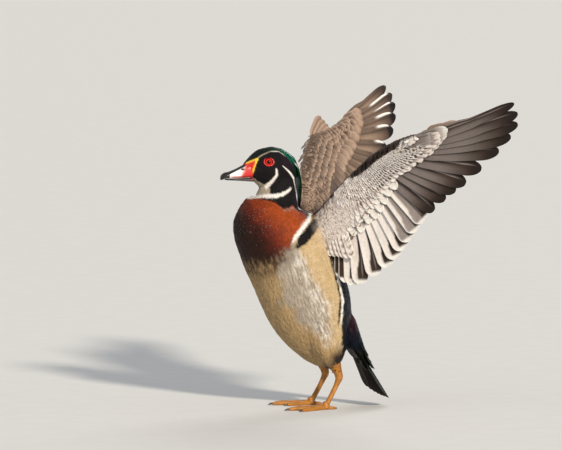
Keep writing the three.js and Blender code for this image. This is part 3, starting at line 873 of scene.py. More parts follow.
def barbs_group(name):
    """Fine barbs that slope away from a feather's shaft."""
    ins = [("Vane", VECTOR, None), ("Count", FLOAT, 60.0), ("Slope", FLOAT, 0.5), ("Depth", FLOAT, 0.2)]
    tree, n, start = new_group(name, ins, [("Height", FLOAT), ("Shade", COLOUR)])
    parts = n.add("ShaderNodeSeparateXYZ", _0=start["Vane"]).outputs
    off = n.math("ABSOLUTE", n.math("SUBTRACT", parts[0], 0.5))
    along = n.math("SUBTRACT", parts[1], n.math("MULTIPLY", off, start["Slope"]))
    wave = n.math("SINE", n.math("MULTIPLY", along, start["Count"]))
    height = n.math("MULTIPLY_ADD", wave, 0.5, 0.5)
    soft = n.math("MULTIPLY", n.math("SUBTRACT", 1.0, height), start["Depth"])
    n.add("NodeGroupOutput", Height=height, Shade=n.grey(n.math("SUBTRACT", 1.0, soft)))
    return tree


def fine_bars_group(name):
    """Fine wavy dark lines, as on the flanks."""
    ins = [("Place", VECTOR, None), ("Scale", FLOAT, 240.0), ("Strength", FLOAT, 0.5)]
    tree, n, start = new_group(name, ins, [("Mask", FLOAT)])
    wave = n.add(
        "ShaderNodeTexWave",
        {"wave_type": "BANDS", "bands_direction": "Z"},
        Vector=start["Place"],
        Scale=start["Scale"],
        Distortion=5.0,
        Detail=2.0,
        Detail_Scale=1.6,
    )
    sharp = n.math("MULTIPLY", n.math("SUBTRACT", wave.outputs["Fac"], 0.55), 4.0, clamp=True)
    n.add("NodeGroupOutput", Mask=n.math("MULTIPLY", sharp, start["Strength"]))
    return tree


def mottle_group(name):
    """Soft changes of shade over a surface."""
    ins = [("Place", VECTOR, None), ("Scale", FLOAT, 200.0), ("Amount", FLOAT, 0.2)]
    tree, n, start = new_group(name, ins, [("Shade", COLOUR), ("Height", FLOAT)])
    noise = n.add("ShaderNodeTexNoise", Vector=start["Place"], Scale=start["Scale"], Detail=4.0)
    value = noise.outputs["Fac"]
    level = n.math("MULTIPLY_ADD", n.math("SUBTRACT", value, 0.5), start["Amount"], 1.0)
    n.add("NodeGroupOutput", Shade=n.grey(level), Height=value)
    return tree


def plain_material(name, shown):
    made = bpy.data.materials.new(name)
    made.use_nodes = True
    made.diffuse_color = (*shown, 1)
    n = Nodes(made.node_tree)
    place = n.add("ShaderNodeTexCoord").outputs["Object"]
    return made, n, made.node_tree.nodes["Principled BSDF"], place


def tinted_material(name, shown, scale, amount):
    """A material whose colour is the tint of the piece, mottled."""
    made, n, shader, place = plain_material(name, shade(shown))
    mottle = n.group("Mottle", mottle_group, Place=place, Scale=scale, Amount=amount)
    colour = n.times(n.stored("tint", "Color"), mottle["Shade"])
    n.fill(shader, Base_Color=colour)
    return made, n, shader, place, mottle["Height"], colour


def feather_material(name, count, depth, bump, sheen):
    """Tint, gloss and fine bars come from the piece, barbs and mottling from the groups."""
    made, n, shader, place, _, colour = tinted_material(name, "buff", 320.0, 0.35)
    vane = n.add("ShaderNodeUVMap", {"uv_map": "vane"}).outputs[0]
    gloss, bars, _ = n.add("ShaderNodeSeparateXYZ", _0=n.stored("trait", "Vector")).outputs
    barbs = n.group("Barbs", barbs_group, Vane=vane, Count=count, Depth=depth)
    lines = n.group("Fine bars", fine_bars_group, Place=place)
    colour = n.times(colour, barbs["Shade"])
    barred = n.math("MULTIPLY", lines["Mask"], bars)
    n.fill(
        shader,
        Base_Color=n.blend(barred, colour, opaque(INKS["fine bar"])),
        Metallic=n.math("MULTIPLY", gloss, 0.8),
        Roughness=n.math("MULTIPLY_ADD", gloss, -0.32, 0.68),
        Sheen_Weight=sheen,
        Sheen_Roughness=0.4,
        Specular_IOR_Level=0.16,
    )
    n.bump(shader, barbs["Height"], bump, 0.0002)
    return made


def skin_material(name):
    """Bare skin shows only at the bill's base and round the eyes; the rest lies under the coat."""
    made, n, shader, _, height, _ = tinted_material(name, "black", 900.0, 0.3)
    bare = n.add("ShaderNodeSeparateXYZ", _0=n.stored("trait", "Vector")).outputs[2]
    n.fill(shader, Roughness=n.math("MULTIPLY_ADD", bare, -0.42, 0.85))
    n.bump(shader, height, 0.5, 0.0003)
    return made


def horn_material(name, roughness, coat, scale, amount, bump):
    """Bill, claws and eye rings: tinted horn with a little grain."""
    made, n, shader, _, height, _ = tinted_material(name, "red", scale, amount)
    rough = n.math("MULTIPLY_ADD", height, 0.12, roughness - 0.06)
    n.fill(shader, Roughness=rough, Coat_Weight=coat, Coat_Roughness=0.15)
    n.bump(shader, height, bump, 0.0003)
    return made


def scale_material(name):
    """Scaled skin of the legs, toes and webs."""
    made, n, shader, place, _, colour = tinted_material(name, "leg", 160.0, 0.6)
    settings = {"feature": "DISTANCE_TO_EDGE"}
    cells = n.add("ShaderNodeTexVoronoi", settings, Vector=place, Scale=620.0)
    crack = n.math("MULTIPLY", cells.outputs["Distance"], 7.0, clamp=True)
    colour = n.times(colour, n.blend(crack, (0.55, 0.5, 0.45, 1), (1, 1, 1, 1)))
    n.fill(shader, Base_Color=colour, Roughness=0.5, Coat_Weight=0.15, Coat_Roughness=0.4)
    n.bump(shader, crack, 0.5, 0.0002)
    return made


def eye_material(name):
    made, n, shader, *_ = tinted_material(name, "red", 1500.0, 0.5)
    n.fill(shader, Roughness=0.5, Specular_IOR_Level=0.1, Coat_Weight=0.25, Coat_Roughness=0.04)
    return made


MATERIALS = {
    "plumage": (feather_material, 26.0, 0.22, 0.35, 0.06),
    "quills": (feather_material, 420.0, 0.16, 0.3, 0.04),
    "skin": (skin_material,),
    "horn": (horn_material, 0.38, 0.35, 260.0, 0.25, 0.12),
    "ring": (horn_material, 0.45, 0.2, 1400.0, 0.4, 0.8),
    "claw": (horn_material, 0.35, 0.3, 500.0, 0.5, 0.2),
    "scales": (scale_material,),
    "eye": (eye_material,),
}


def material(name):
    key = "wood_duck_" + name
    build, *numbers = MATERIALS[name]
    return bpy.data.materials.get(key) or build(key, *numbers)


# Skin: every fleshy part joined into one surface

def flesh(depth):
    """Lofts of the body, each with the way its feathers lie and their length."""
    lofts = [
        (torso_loft(-depth), -1, 9),
        (loft(NECK, -0.8 * depth), -1, 6),
        (loft(HEAD, -0.55 * depth), -1, 4),
        (rump(-0.5 * depth), 1, 12),
    ]
    for side in SIDES.values():
        rows = [(x, side * y, z, r - 0.5 * depth) for x, y, z, r in LEG[:4]]
        lofts.append((limb(rows, 48, 48), 1, 9))
    lofts = [(grid, np.gradient(grid, axis=0) * way, long) for grid, way, long in lofts]
    for wing in WINGS.values():
        grid = wing.core(-0.35 * depth)
        lofts.append((grid, np.broadcast_to(wing.chord + 0.45 * wing.span, grid.shape), 9))
    parts = Parts()
    for grid, ahead, long in lofts:
        plume = np.full(grid.shape[0] * grid.shape[1], float(long))
        parts.add(grid, ring_faces(*grid.shape[:2]), lie=unit(ahead).reshape(-1, 3), plume=plume)
    return parts


def smooth_values(mesh, value, rounds):
    """Averages a value over the mesh's neighbours."""
    edges = np.empty(len(mesh.edges) * 2, np.int32)
    mesh.edges.foreach_get("vertices", edges)
    a, b = edges.reshape(-1, 2).T
    count = np.bincount(np.concatenate([a, b]), minlength=len(value))[:, None]
    for _ in range(rounds):
        total = np.zeros_like(value)
        for k in range(value.shape[1]):
            total[:, k] += np.bincount(a, value[b, k], len(value))
            total[:, k] += np.bincount(b, value[a, k], len(value))
        value = (value + total / np.maximum(count, 1)) / 2
    return value


ZONES = {"head": 1, "neck": 2, "breast": 3, "belly": 4, "back": 5, "wing": 6}


def zone_of(p, trait):
    """Which part of the coat grows at each point, or 0 for none."""
    x, z = p[:, 0], p[:, 2]
    zone = np.full(len(p), ZONES["belly"])
    zone[p @ BODY_BACK > (RUMP_END @ BODY_BACK) + 12] = ZONES["back"]
    zone[z > np.interp(x, *BREAST_LOW) - 6] = ZONES["breast"]
    zone[(z > np.interp(x, *BREAST_TOP) - 1) | (z > 246)] = ZONES["neck"]
    zone[z > 262 - 0.35 * (x + 60)] = ZONES["head"]
    for share in wing_share(p).values():
        zone[share > 0.5] = ZONES["wing"]
    zone[trait[:, 2] > 0.5] = 0
    zone[(x < -88) & (z > 270)] = 0
    return zone


def place_on_skin(p):
    """A place on a flat unwrap of the skin, for the coat's own map."""
    along = p @ BODY_RUN - RUMP_END @ BODY_RUN
    out = p - RUMP_END - along[:, None] * BODY_RUN
    angle = np.arctan2(out[:, 1], out @ BODY_BACK) / (2 * math.pi) + 0.5
    u = 0.02 + 0.46 * angle
    v = 0.02 + 0.94 * np.clip((along + 60) / 380, 0, 1)
    for name, share in wing_share(p).items():
        wing = WINGS[name]
        a, b, c = wing.local(p)
        left = 0.52 if wing.side < 0 else 0.76
        wing_u = left + 0.2 * np.clip((b + 75) / 180, 0, 1)
        wing_v = np.where(c > 0, 0.02, 0.52) + 0.44 * np.clip((a + 30) / 360, 0, 1)
        u = np.where(share > 0.5, wing_u, u)
        v = np.where(share > 0.5, wing_v, v)
    return np.column_stack([u, v])


PATCH = 0.003


def bake_map(mesh, roots, vane):
    """Each tuft gets a small patch at its root's place on the skin's unwrap."""
    set_map(mesh, "OFBake", place_on_skin(roots) + (np.asarray(vane) - 0.5) * PATCH)


def build_skin(sizes):
    rough = faced_out(flesh(sizes.coat_depth / MM).mesh("flesh"))
    thing = new_object("skin", rough, material("skin"))
    tree = KDTree(len(rough.vertices))
    for i, p in enumerate(points_of(rough)):
        tree.insert(p, i)
    tree.balance()
    source_lie = get_value(rough, "lie")
    plume = get_value(rough, "plume", "value")
    remesh = thing.modifiers.new("Join", "REMESH")
    remesh.mode = "VOXEL"
    remesh.voxel_size = sizes.skin_grid
    remesh.use_smooth_shade = True
    relax = thing.modifiers.new("Relax", "SMOOTH")
    relax.factor = 0.5
    relax.iterations = 6
    mesh = settled(thing)
    points = points_of(mesh)
    nearest = np.array([tree.find(p)[1] for p in points])
    lie = smooth_values(mesh, source_lie[nearest], 14)
    head = step(points[:, 2], 270, 282)[:, None]
    lie = unit(lie) + head * [0.0, 0.0, -0.35]
    length = smooth_values(mesh, plume[nearest][:, None].astype(float), 10)[:, 0]
    face = step(points[:, 0], -66, -90) * head[:, 0]
    colour, trait = markings(points)
    set_value(mesh, "lie", unit(lie))
    set_value(mesh, "plume", length * (1 - 0.45 * face))
    set_value(mesh, "tint", colour)
    set_value(mesh, "trait", trait)
    set_value(mesh, "zone", zone_of(points, trait).astype(float))
    bake_map(mesh, points, np.full((len(points), 2), 0.5))
    set_material(mesh, material("skin"))
    return thing


# Coat: small feathers spread over the skin

def plume_mesh(name, width, tip, arch):
    """A small feather one unit long that points along +Y: an arched top over a flat back."""
    rows = [(0.0, 0.35), (0.38, 0.9), (0.72, 1.0), (0.92, tip)]
    points, vane = [], []
    for u, share in rows:
        half = width * share / 2
        rise = arch * math.sin(math.pi * min(1, u + 0.1))
        drop = -0.12 * u * u
        for v in (-1, 0, 1):
            points.append((v * half, u, drop + rise * (1 - v * v)))
            vane.append((0.5 + v / 2, u))
    points.append((0, 1, -0.13))
    vane.append((0.5, 1))
    faces = []
    for r in range(len(rows) - 1):
        for c in range(2):
            a = 3 * r + c
            faces.append((a, a + 1, a + 4, a + 3))
    last = 3 * (len(rows) - 1)
    faces += [(last, last + 1, 12), (last + 1, last + 2, 12)]
    faces.append((0, 3, 6, 9, 12, 11, 8, 5, 2, 1))
    mesh = bpy.data.meshes.new(name)
    mesh.from_pydata(points, [], faces)
    set_map(mesh, "vane", vane)
    return faced_out(mesh)


PLUMES = {
    "round": [(0.62, 0.6, 0.07), (0.7, 0.7, 0.06), (0.56, 0.5, 0.08)],
    "hair": [(0.36, 0.45, 0.06), (0.3, 0.35, 0.07), (0.42, 0.5, 0.05)],
}


def plume_collection(kind):
    made = bpy.data.collections.new("plumes_" + kind)
    bpy.context.scene.collection.children.link(made)
    for k, shape in enumerate(PLUMES[kind]):
        name = f"plumes_{kind}_{k}"
        made.objects.link(bpy.data.objects.new(name, plume_mesh(name, *shape)))
    return made


COAT_INPUTS = [
    ("Geometry", GEOMETRY, None),
    ("Zone", FLOAT, 1.0),
    ("Spacing", FLOAT, 0.002),
    ("Size", FLOAT, 1.0),
    ("Lift", FLOAT, 0.2),
    ("Spread", FLOAT, 0.2),
    ("Seed", "NodeSocketInt", 1),
    ("Plumes", "NodeSocketCollection", None),
    ("Material", "NodeSocketMaterial", None),
]


def coat_tree():
    """Spreads plumes over one zone of a skin, laid along its lie."""
    outs = [("Geometry", GEOMETRY)]
    tree, n, start = new_group("Coat", COAT_INPUTS, outs, "GeometryNodeTree")

    def named(name, kind):
        return n.add("GeometryNodeInputNamedAttribute", {"data_type": kind}, Name=name).outputs[0]

    def chance(low, high, number):
        seed = n.math("ADD", start["Seed"], float(number))
        settings = {"data_type": "FLOAT"}
        return n.add("FunctionNodeRandomValue", settings, _2=low, _3=high, Seed=seed).outputs[1]

    settings = {"data_type": "FLOAT", "operation": "EQUAL"}
    zone = named("zone", "FLOAT")
    here = n.add("FunctionNodeCompare", settings, _0=zone, _1=start["Zone"], Epsilon=0.5)
    spread = n.add(
        "GeometryNodeDistributePointsOnFaces",
        {"distribute_method": "POISSON"},
        Mesh=start["Geometry"],
        Selection=here.outputs[0],
        Distance_Min=start["Spacing"],
        Density_Max=4e6,
        Seed=start["Seed"],
    )
    align = "FunctionNodeAlignRotationToVector"
    aim = n.add(align, {"axis": "Z"}, Vector=spread.outputs["Normal"]).outputs[0]
    lie = named("lie", "FLOAT_VECTOR")
    lay = n.add(align, {"axis": "Y", "pivot_axis": "Z"}, Rotation=aim, Vector=lie).outputs[0]
    tilt = n.math("MULTIPLY", start["Lift"], chance(0.6, 1.4, 1))
    yaw = n.math("MULTIPLY", start["Spread"], chance(-1.0, 1.0, 2))
    roll = n.math("MULTIPLY", start["Spread"], chance(-0.7, 0.7, 3))
    turn = n.add("ShaderNodeCombineXYZ", _0=tilt, _1=roll, _2=yaw).outputs[0]
    turn = n.add("FunctionNodeEulerToRotation", _0=turn).outputs[0]
    settings = {"rotation_space": "LOCAL"}
    turn = n.add("FunctionNodeRotateRotation", settings, _0=lay, _1=turn).outputs[0]
    size = n.math("MULTIPLY", n.math("MULTIPLY", named("plume", "FLOAT"), MM), start["Size"])
    size = n.math("MULTIPLY", size, chance(0.82, 1.15, 4))
    place = n.add("GeometryNodeInputPosition").outputs[0]
    made = spread.outputs["Points"]
    for name, kind, value in (("root", "FLOAT_VECTOR", place), ("chance", "FLOAT", chance(0.0, 1.0, 5))):
        settings = {"data_type": kind, "domain": "POINT"}
        store = "GeometryNodeStoreNamedAttribute"
        made = n.add(store, settings, Name=name, Geometry=made, Value=value).outputs[0]
    shapes = n.add(
        "GeometryNodeCollectionInfo",
        Collection=start["Plumes"],
        Separate_Children=True,
        Reset_Children=True,
    )
    made = n.add(
        "GeometryNodeInstanceOnPoints",
        Points=made,
        Instance=shapes.outputs[0],
        Pick_Instance=True,
        Rotation=turn,
        Scale=size,
    )
    made = n.add("GeometryNodeRealizeInstances", _0=made.outputs[0]).outputs[0]
    made = n.add("GeometryNodeSetMaterial", Geometry=made, Material=start["Material"])
    n.add("NodeGroupOutput", _0=made.outputs[0])
    return tree


def set_inputs(modifier, tree, values):
    for item in tree.interface.items_tree:
        if item.item_type == "SOCKET" and item.in_out == "INPUT" and item.name in values:
            modifier[item.identifier] = values[item.name]


def vane_of(mesh):
    """The vane map as two values for each vertex."""
    layer = mesh.uv_layers["vane"]
    flat = np.empty(len(mesh.loops) * 2, np.float32)
    layer.data.foreach_get("uv", flat)
    out = np.zeros((len(mesh.vertices), 2))
    out[corners_of(mesh)] = flat.reshape(-1, 2)
    return out


def coat_tint(points, roots, vane, chance, zone):
    """Colour of each feather's points, from the skin's markings and its own pattern."""
    reach = 1.0 if zone in ("head", "neck") else 0.85
    colour, trait = markings(roots + (points - roots) * reach)
    middle = 1 - np.abs(vane[:, 0] - 0.5) * 2
    colour = colour * (0.9 + 0.2 * chance)[:, None] * (0.86 + 0.2 * vane[:, 1])[:, None]
    if zone == "breast":
        z, x = roots[:, 2], roots[:, 0]
        high = np.interp(x, *BREAST_TOP) - 3
        chestnut = (z > np.interp(x, *BREAST_LOW) + 2) & (z < high) & (x < -38)
        some = chestnut & (chance < 0.03 + 0.75 * step(x, -56, -80) * step(z, 212, 234))
        point = step(vane[:, 1], 0.95, 1.0)
        colour = mix(colour, shade("white"), 0.75 * some * point)
    if zone == "wing":
        for wing in WINGS.values():
            a, b, c = wing.local(roots)
            mine = roots[:, 1] * wing.side > 0
            under = mine & (c < 0)
            spot = under & (chance > 0.5) & (b > -46)
            dark = spot * step(middle, 0.35, 0.6)
            dark = dark * step(vane[:, 1], 0.5, 0.62) * step(vane[:, 1], 0.94, 0.86)
            deep = step(a, 40, 80) + 0.5 * (chance > 0.8)
            colour = mix(colour, mix(ink("lining spot"), shade("quill"), deep), 0.85 * dark)
            above = mine & (c >= 0)
            rim = above * np.maximum(step(middle, 0.4, 0.1), step(vane[:, 1], 0.84, 0.94))
            core = above * (1 - rim) * (0.35 + 0.6 * (chance < 0.5) * step(a, 125, 80))
            colour = mix(colour, ink("feather core"), core)
            colour = mix(colour, shade("sand") * 1.25, 0.75 * rim)
    return np.clip(colour, 0, 1), trait


COAT = [
    # Zone, spacing in mm, size, lift, spread, kind of plume, slot, seed
    ("head", 0.95, 1.0, 0.16, 0.16, "hair", "head_plumage", 11),
    ("neck", 1.15, 1.0, 0.16, 0.18, "hair", "neck_plumage", 12),
    ("breast", 1.6, 0.85, 0.16, 0.2, "round", "body_plumage", 13),
    ("belly", 1.75, 0.95, 0.14, 0.22, "hair", "body_plumage", 14),
    ("back", 2.0, 1.0, 0.13, 0.16, "round", "body_plumage", 15),
    ("wing", 2.7, 1.15, 0.07, 0.12, "round", "wing_feathers", 16),
]


def build_coat(skin, sizes):
    tree = coat_tree()
    plumes = {kind: plume_collection(kind) for kind in PLUMES}
    for zone, spacing, size, lift, spread, kind, slot, seed in COAT:
        thing = new_object("coat_" + zone, skin.data)
        grow = thing.modifiers.new("Coat", "NODES")
        grow.node_group = tree
        values = {
            "Zone": float(ZONES[zone]),
            "Spacing": spacing * MM * sizes.coat_spacing * 1,
            "Size": size * 1,
            "Lift": lift,
            "Spread": spread,
            "Seed": seed,
            "Plumes": plumes[kind],
            "Material": material("plumage"),
        }
        set_inputs(grow, tree, values)
        mesh = settled(thing)
        points = points_of(mesh)
        roots = (get_value(mesh, "root") - SHIFT) / MM
        chance = get_value(mesh, "chance", "value")
        vane = vane_of(mesh)
        colour, trait = coat_tint(points, roots, vane, chance, zone)
        for old in ("root", "chance", "lie", "plume", "zone", "OFBake"):
            if old in mesh.attributes:
                mesh.attributes.remove(mesh.attributes[old])
        set_material(mesh, material("plumage"))
        set_value(mesh, "tint", colour)
        set_value(mesh, "trait", trait)
        bake_map(mesh, roots, vane)
        mesh.name = "coat_" + zone
        finish_piece(thing, slot)
    for used in plumes.values():
        for old in list(used.objects):
            bpy.data.objects.remove(old)
        bpy.data.collections.remove(used)


# Feathers with a shaft and two webs

def blade(u, tip_start):
    """Share of a feather's width along it, from the quill to the round tip."""
    base = 0.75 * step(u, 0, 0.35) + 0.25
    end = np.sqrt(np.maximum(0.02, 1 - (np.maximum(0, u - tip_start) / (1.005 - tip_start)) ** 2))
    return base * end


FEW_LINES = [-1, -0.75, -0.45, -0.15]
MANY_LINES = [-1, -0.92, -0.84, -0.62, -0.4, -0.2, -0.06, 0.06, 0.18]


def add_feather(
    parts, at, tint, width, rows, shaft, thick, arch, notch=0.0, tip_start=0.8, gloss=None
):
    """A closed thin feather. at(u, side, up) places its points; v runs over its two webs."""
    u = 1 - (1 - np.linspace(0, 1, rows)) ** 1.6
    near = 0.06
    inner = FEW_LINES if rows < 30 else MANY_LINES
    outer = [(1 + shaft) / 2] if rows < 30 else [0.5, 0.64, 0.72, 0.8, 0.9]
    v = np.array([*inner, shaft - near, shaft, shaft + near, *outer, 1])
    u, v = np.meshgrid(u, v, indexing="ij")
    half = width / 2 * blade(u, tip_start)
    # Both webs narrow towards the tip of the long primaries, the outer one more
    outside = 1 - notch * step(u, 0.45, 0.6)
    half = half * np.where(v > shaft, outside, 1 - 0.6 * notch * step(u, 0.55, 0.7))
    side = v * half
    ridge = np.exp(-(((v - shaft) / near) ** 2)) * (1 - 0.75 * u)
    profile = thick * (0.3 + 0.5 * (1 - np.abs(v))) + 0.28 * ridge
    droop = -arch * v**2

    def around(top, low):
        return np.concatenate([top, low[:, ::-1]], axis=1)

    grid = around(at(u, side, droop + profile / 2), at(u, side, droop - profile / 2))
    colour = around(tint(u, v, 1), tint(u, v, -1)).reshape(-1, 3)
    trait = np.zeros((len(colour), 3))
    if gloss:
        trait[:, 0] = around(gloss(u, v, 1), gloss(u, v, -1)).ravel()
    vane = np.stack([around(v, v) * 0.5 + 0.5, around(u, u)], -1).reshape(-1, 2)
    parts.loft(grid, tint=np.clip(colour, 0, 1), trait=trait, vane=vane)


def on_wing(wing, root, tip, level, tilt, rise=0.0, bend=0.0):
    """Places a feather's points between two points of the wing's plane, the outer edge on top."""
    root, tip = np.asarray(root, float), np.asarray(tip, float)
    run = unit(tip - root)

    def at(u, side, up):
        out = side + bend * 4 * u * (1 - u)
        a = root[0] + (tip - root)[0] * u + run[1] * out
        b = root[1] + (tip - root)[1] * u - run[0] * out
        lifted = level * (0.35 + 0.65 * step(u, 0, 0.45))
        return wing.at(a, b, lifted + side * tilt + rise * u + up)

    return at


def flight_feathers():
    """Root, tip and width of each flight feather, from the outermost primary inwards."""
    count = PRIMARIES + SECONDARIES + TERTIALS
    tips = curve(TIP_LINE, np.linspace(0, 1, count))
    feathers = []
    for k in range(count):
        if k < PRIMARIES:
            share = k / (PRIMARIES - 1)
            root, width = between(HAND_END, WRIST, share), 11.5 + 6 * share
        else:
            share = (k - PRIMARIES + 1) / (SECONDARIES + TERTIALS)
            root, width = between(WRIST, INNER_END, share), 18.5 + 1.5 * math.sin(math.pi * share)
        feathers.append((root, tips[k], width))
    return feathers


def flight_at(feathers, k):
    low = min(int(math.floor(k)), len(feathers) - 1)
    high = min(low + 1, len(feathers) - 1)
    return tuple(between(x, y, k - low) for x, y in zip(feathers[low], feathers[high]))


def streaked(u, v, seed, amount=0.16):
    """Fine change of shade along the barbs."""
    along = np.stack([u * 9 - np.abs(v) * 1.4, v * 2.2, np.full_like(u, seed * 3.7)], -1)
    return 1 - amount / 2 + amount * scatter(along, 1.0, seed)


def flight_tint(k):
    hand = k < PRIMARIES
    inner = k >= PRIMARIES + SECONDARIES

    def tint(u, v, face):
        quill, white = shade("quill"), shade("white")
        colour = quill
        if face > 0 and hand:
            light = 0.45 + 0.55 * step(v, 0.3, -0.3)
            colour = mix(colour, shade("sand"), 0.8 * step(u, 0.98, 0.6) * light)
            from_u = 0.56 + 0.04 * k
            pale = step(v, 0.6, 0.72) * step(u, from_u, from_u + 0.1) * step(u, 0.97, 0.93)
            colour = mix(colour, shade("silver"), pale * (0.0 if k == 0 else 1.0 if k < 6 else 0.35))
            tip_dark = 0.35 if k < 2 else 0.95
            colour = mix(colour, shade("black"), tip_dark * step(u, 0.88, 0.94) * (1 - pale))
        elif face > 0 and not inner:
            colour = mix(colour, shade("sand"), 0.5 * (k < PRIMARIES + 2))
            colour = mix(colour, shade("blue"), 0.85 * step(v, -0.5, 0.1) * (k > PRIMARIES))
            colour = mix(colour, shade("black"), step(u, 0.86, 0.9))
            colour = mix(colour, white, step(u, 0.95, 0.965))
        elif face > 0:
            colour = mix(colour, shade("blue"), 0.5)
            colour = mix(colour, white, step(np.abs(v), 0.86, 0.95) * step(u, 0.5, 0.7))
        elif hand:
            grey = shade("cover") * [0.62, 0.62, 0.64]
            colour = mix(colour, grey, 0.36 * step(v, 0.25, -0.5) * step(u, 0.9, 0.5))
            colour = mix(colour, grey * 1.2, 0.4 * step(v, 0.6, 0.8) * step(u, 0.75, 0.5) * (k < 4))
            colour = mix(colour, shade("black"), 0.6 * step(u, 0.8, 0.95))
        elif not inner:
            turn = -0.02 if k >= PRIMARIES + 3 else -0.55
            turn = turn - 0.35 * step(u, 0.72, 0.9)
            colour = mix(colour, shade("cover"), 0.35 * step(v, 0.25, 0.05) * (k < PRIMARIES + 3))
            colour = mix(colour, (shade("cover") + white) / 2, step(v, turn + 0.07, turn - 0.07))
            colour = mix(colour, white, np.maximum(step(u, 0.945, 0.96), 0.8 * step(v, -0.82, -0.9)))
        else:
            colour = mix(colour, white, np.maximum(step(np.abs(v + 0.1), 0.78, 0.86), step(u, 0.93, 0.96)))
        shaft = step(np.abs(v - 0.3), 0.1, 0.03)
        horn = shade("cover") * 0.7 if face < 0 else quill * 0.6
        colour = mix(colour, horn, 0.5 * shaft * step(u, 0.97, 0.8))
        return colour * streaked(u, v, k)[..., None]

    def gloss(u, v, face):
        if face < 0 or hand:
            return np.zeros_like(u)
        return 0.7 * step(v, -0.5, 0.1) * step(u, 0.93, 0.9)

    return tint, gloss


def cover_tint(kind, k, chance=0.5):
    """Coverts: their colour over the vane on either face of the wing, at flight feather k."""

    def tint(u, v, face):
        quill, sand, white, cover = (shade(name) for name in ("quill", "sand", "white", "cover"))
        end = step(u, 0.86, 0.93)
        rim = np.maximum(step(np.abs(v), 0.8, 0.94), end)
        # Lighter towards the tip: partly the coverts' pale ends, partly painted shade on the base where it
        # lies under other feathers
        pale_tip_and_shaded_base = step(u, 0.55, 0.96)
        if kind == "upper hand":
            colour = mix(between(quill, sand, 0.45), sand * 1.2, pale_tip_and_shaded_base)
            colour = mix(colour, quill, 0.6 * step(v, -0.3, -0.9) + 0.35 * step(u, 0.9, 0.97))
            colour = mix(colour, sand * 1.5, 0.6 * step(v, 0.6, 0.85) * step(u, 0.97, 0.9))
        elif kind == "upper arm":
            inward = step(k, 11, 14)
            colour = mix(between(quill, sand, 0.35), sand, 0.7 * pale_tip_and_shaded_base * (1 - inward))
            colour = mix(colour, shade("blue"), 0.5 * step(v, -0.2, 0.4) * step(u, 0.3, 0.6) * inward)
            colour = mix(colour, shade("black"), 0.8 * step(u, 0.84, 0.9) * (0.3 + 0.7 * inward))
            colour = mix(colour, white, 0.8 * step(u, 0.94, 0.965) * inward)
        elif kind == "upper median":
            colour = mix(between(quill, sand, 0.25), sand, pale_tip_and_shaded_base * (0.6 + 0.4 * chance))
            colour = mix(colour, sand * 1.4, 0.55 * rim)
            colour = mix(colour, quill * 0.7, 0.6 * step(np.abs(v + 0.1), 0.4, 0.1) * step(u, 0.85, 0.6))
        elif kind == "lower hand":
            grey = ink("hand grey")
            colour = mix(grey, cover, (0.35 + 0.4 * chance) * step(u, 0.55, 0.9))
            colour = mix(colour, white, np.maximum(0.9 * end, 0.5 * rim))
            colour = mix(colour, quill, 0.5 * step(v, 0.1, 0.6) * step(u, 0.85, 0.7))
        elif kind == "lower arm":
            colour = mix((cover + white) / 2, white, 0.9 * rim)
            colour = mix(colour, quill * 1.6, 0.8 * step(v, 0.15, 0.4) * step(u, 0.9, 0.8))
        elif kind == "lower median":
            colour = mix(ink("median grey"), cover, step(u, 0.4, 0.8))
            spot = step(np.hypot(v, (u - 0.6) * 3), 0.6, 0.3)
            colour = mix(colour, quill * 1.4, 0.5 * (chance > 0.5) * spot)
            colour = mix(colour, white, 0.9 * end)
        elif kind == "lower lesser":
            near_wrist = step(abs(k - 7.5), 5.5, 3)
            spot = step(np.hypot(v, (u - 0.74) * 3.4), 0.85, 0.6)
            dot = between(ink("lesser spot"), quill * 0.7, near_wrist)
            some = near_wrist > 0.5 or chance > 0.45
            colour = mix((cover + white) / 2, dot, 0.9 * spot * some)
        elif kind == "axillary":
            spot = step(np.sin(u * 30 + k + 4 * v * v), 0.3, 0.7) * step(np.abs(v), 0.9, 0.5)
            colour = mix((cover + white) / 2, ink("axillary bar"), 0.75 * spot)
        elif face > 0:
            colour = mix(between(quill, sand, 0.75), sand * 1.35, 0.7 * step(v, 0.3, 0.8))
        else:
            colour = mix(quill, sand, 0.3 * step(np.abs(v), 0.85, 0.97))
        return colour * streaked(u, v, k + 31)[..., None]

    return tint


COVERT_ROWS = [
    # Kind, face, count, first and last flight feather, length, reach, width, height
    ("upper", 1, 19, 0.2, 18.6, 60, 0.46, 16, 3.2),
    ("upper median", 1, 21, 0.6, 19.0, 30, 0.36, 13, 4.4),
    ("upper median", 1, 24, 1.4, 19.2, 24, 0.27, 11, 5.4),
    ("upper median", 1, 26, 2.2, 19.4, 20, 0.18, 9.5, 6.2),
    ("upper median", 1, 30, 2.8, 19.4, 17, 0.1, 8, 6.6),
    ("lower", -1, 11, 0.2, 9.6, 64, 0.37, 14, 2.6),
    ("lower", -1, 9, 9.8, 18.6, 48, 0.46, 12.5, 2.6),
    ("lower", -1, 13, 0.8, 9.6, 40, 0.28, 12, 3.6),
    ("lower arm", -1, 12, 9.6, 18.8, 30, 0.37, 11, 3.6),
    ("lower median", -1, 26, 1.6, 18.8, 22, 0.36, 9.5, 4.2),
    ("lower lesser", -1, 36, 3.0, 19.0, 15, 0.31, 6.6, 4.6),
    ("lower lesser", -1, 42, 3.4, 19.2, 12, 0.25, 5.8, 5.2),
    ("lower lesser", -1, 44, 3.8, 19.3, 12, 0.2, 5.4, 5.8),
    ("lower lesser", -1, 46, 4.0, 19.4, 12, 0.15, 5.4, 6.2),
    ("lower lesser", -1, 46, 4.2, 19.4, 12, 0.1, 5.4, 6.4),
    ("lower lesser", -1, 46, 4.4, 19.4, 11, 0.055, 5.2, 6.4),
]


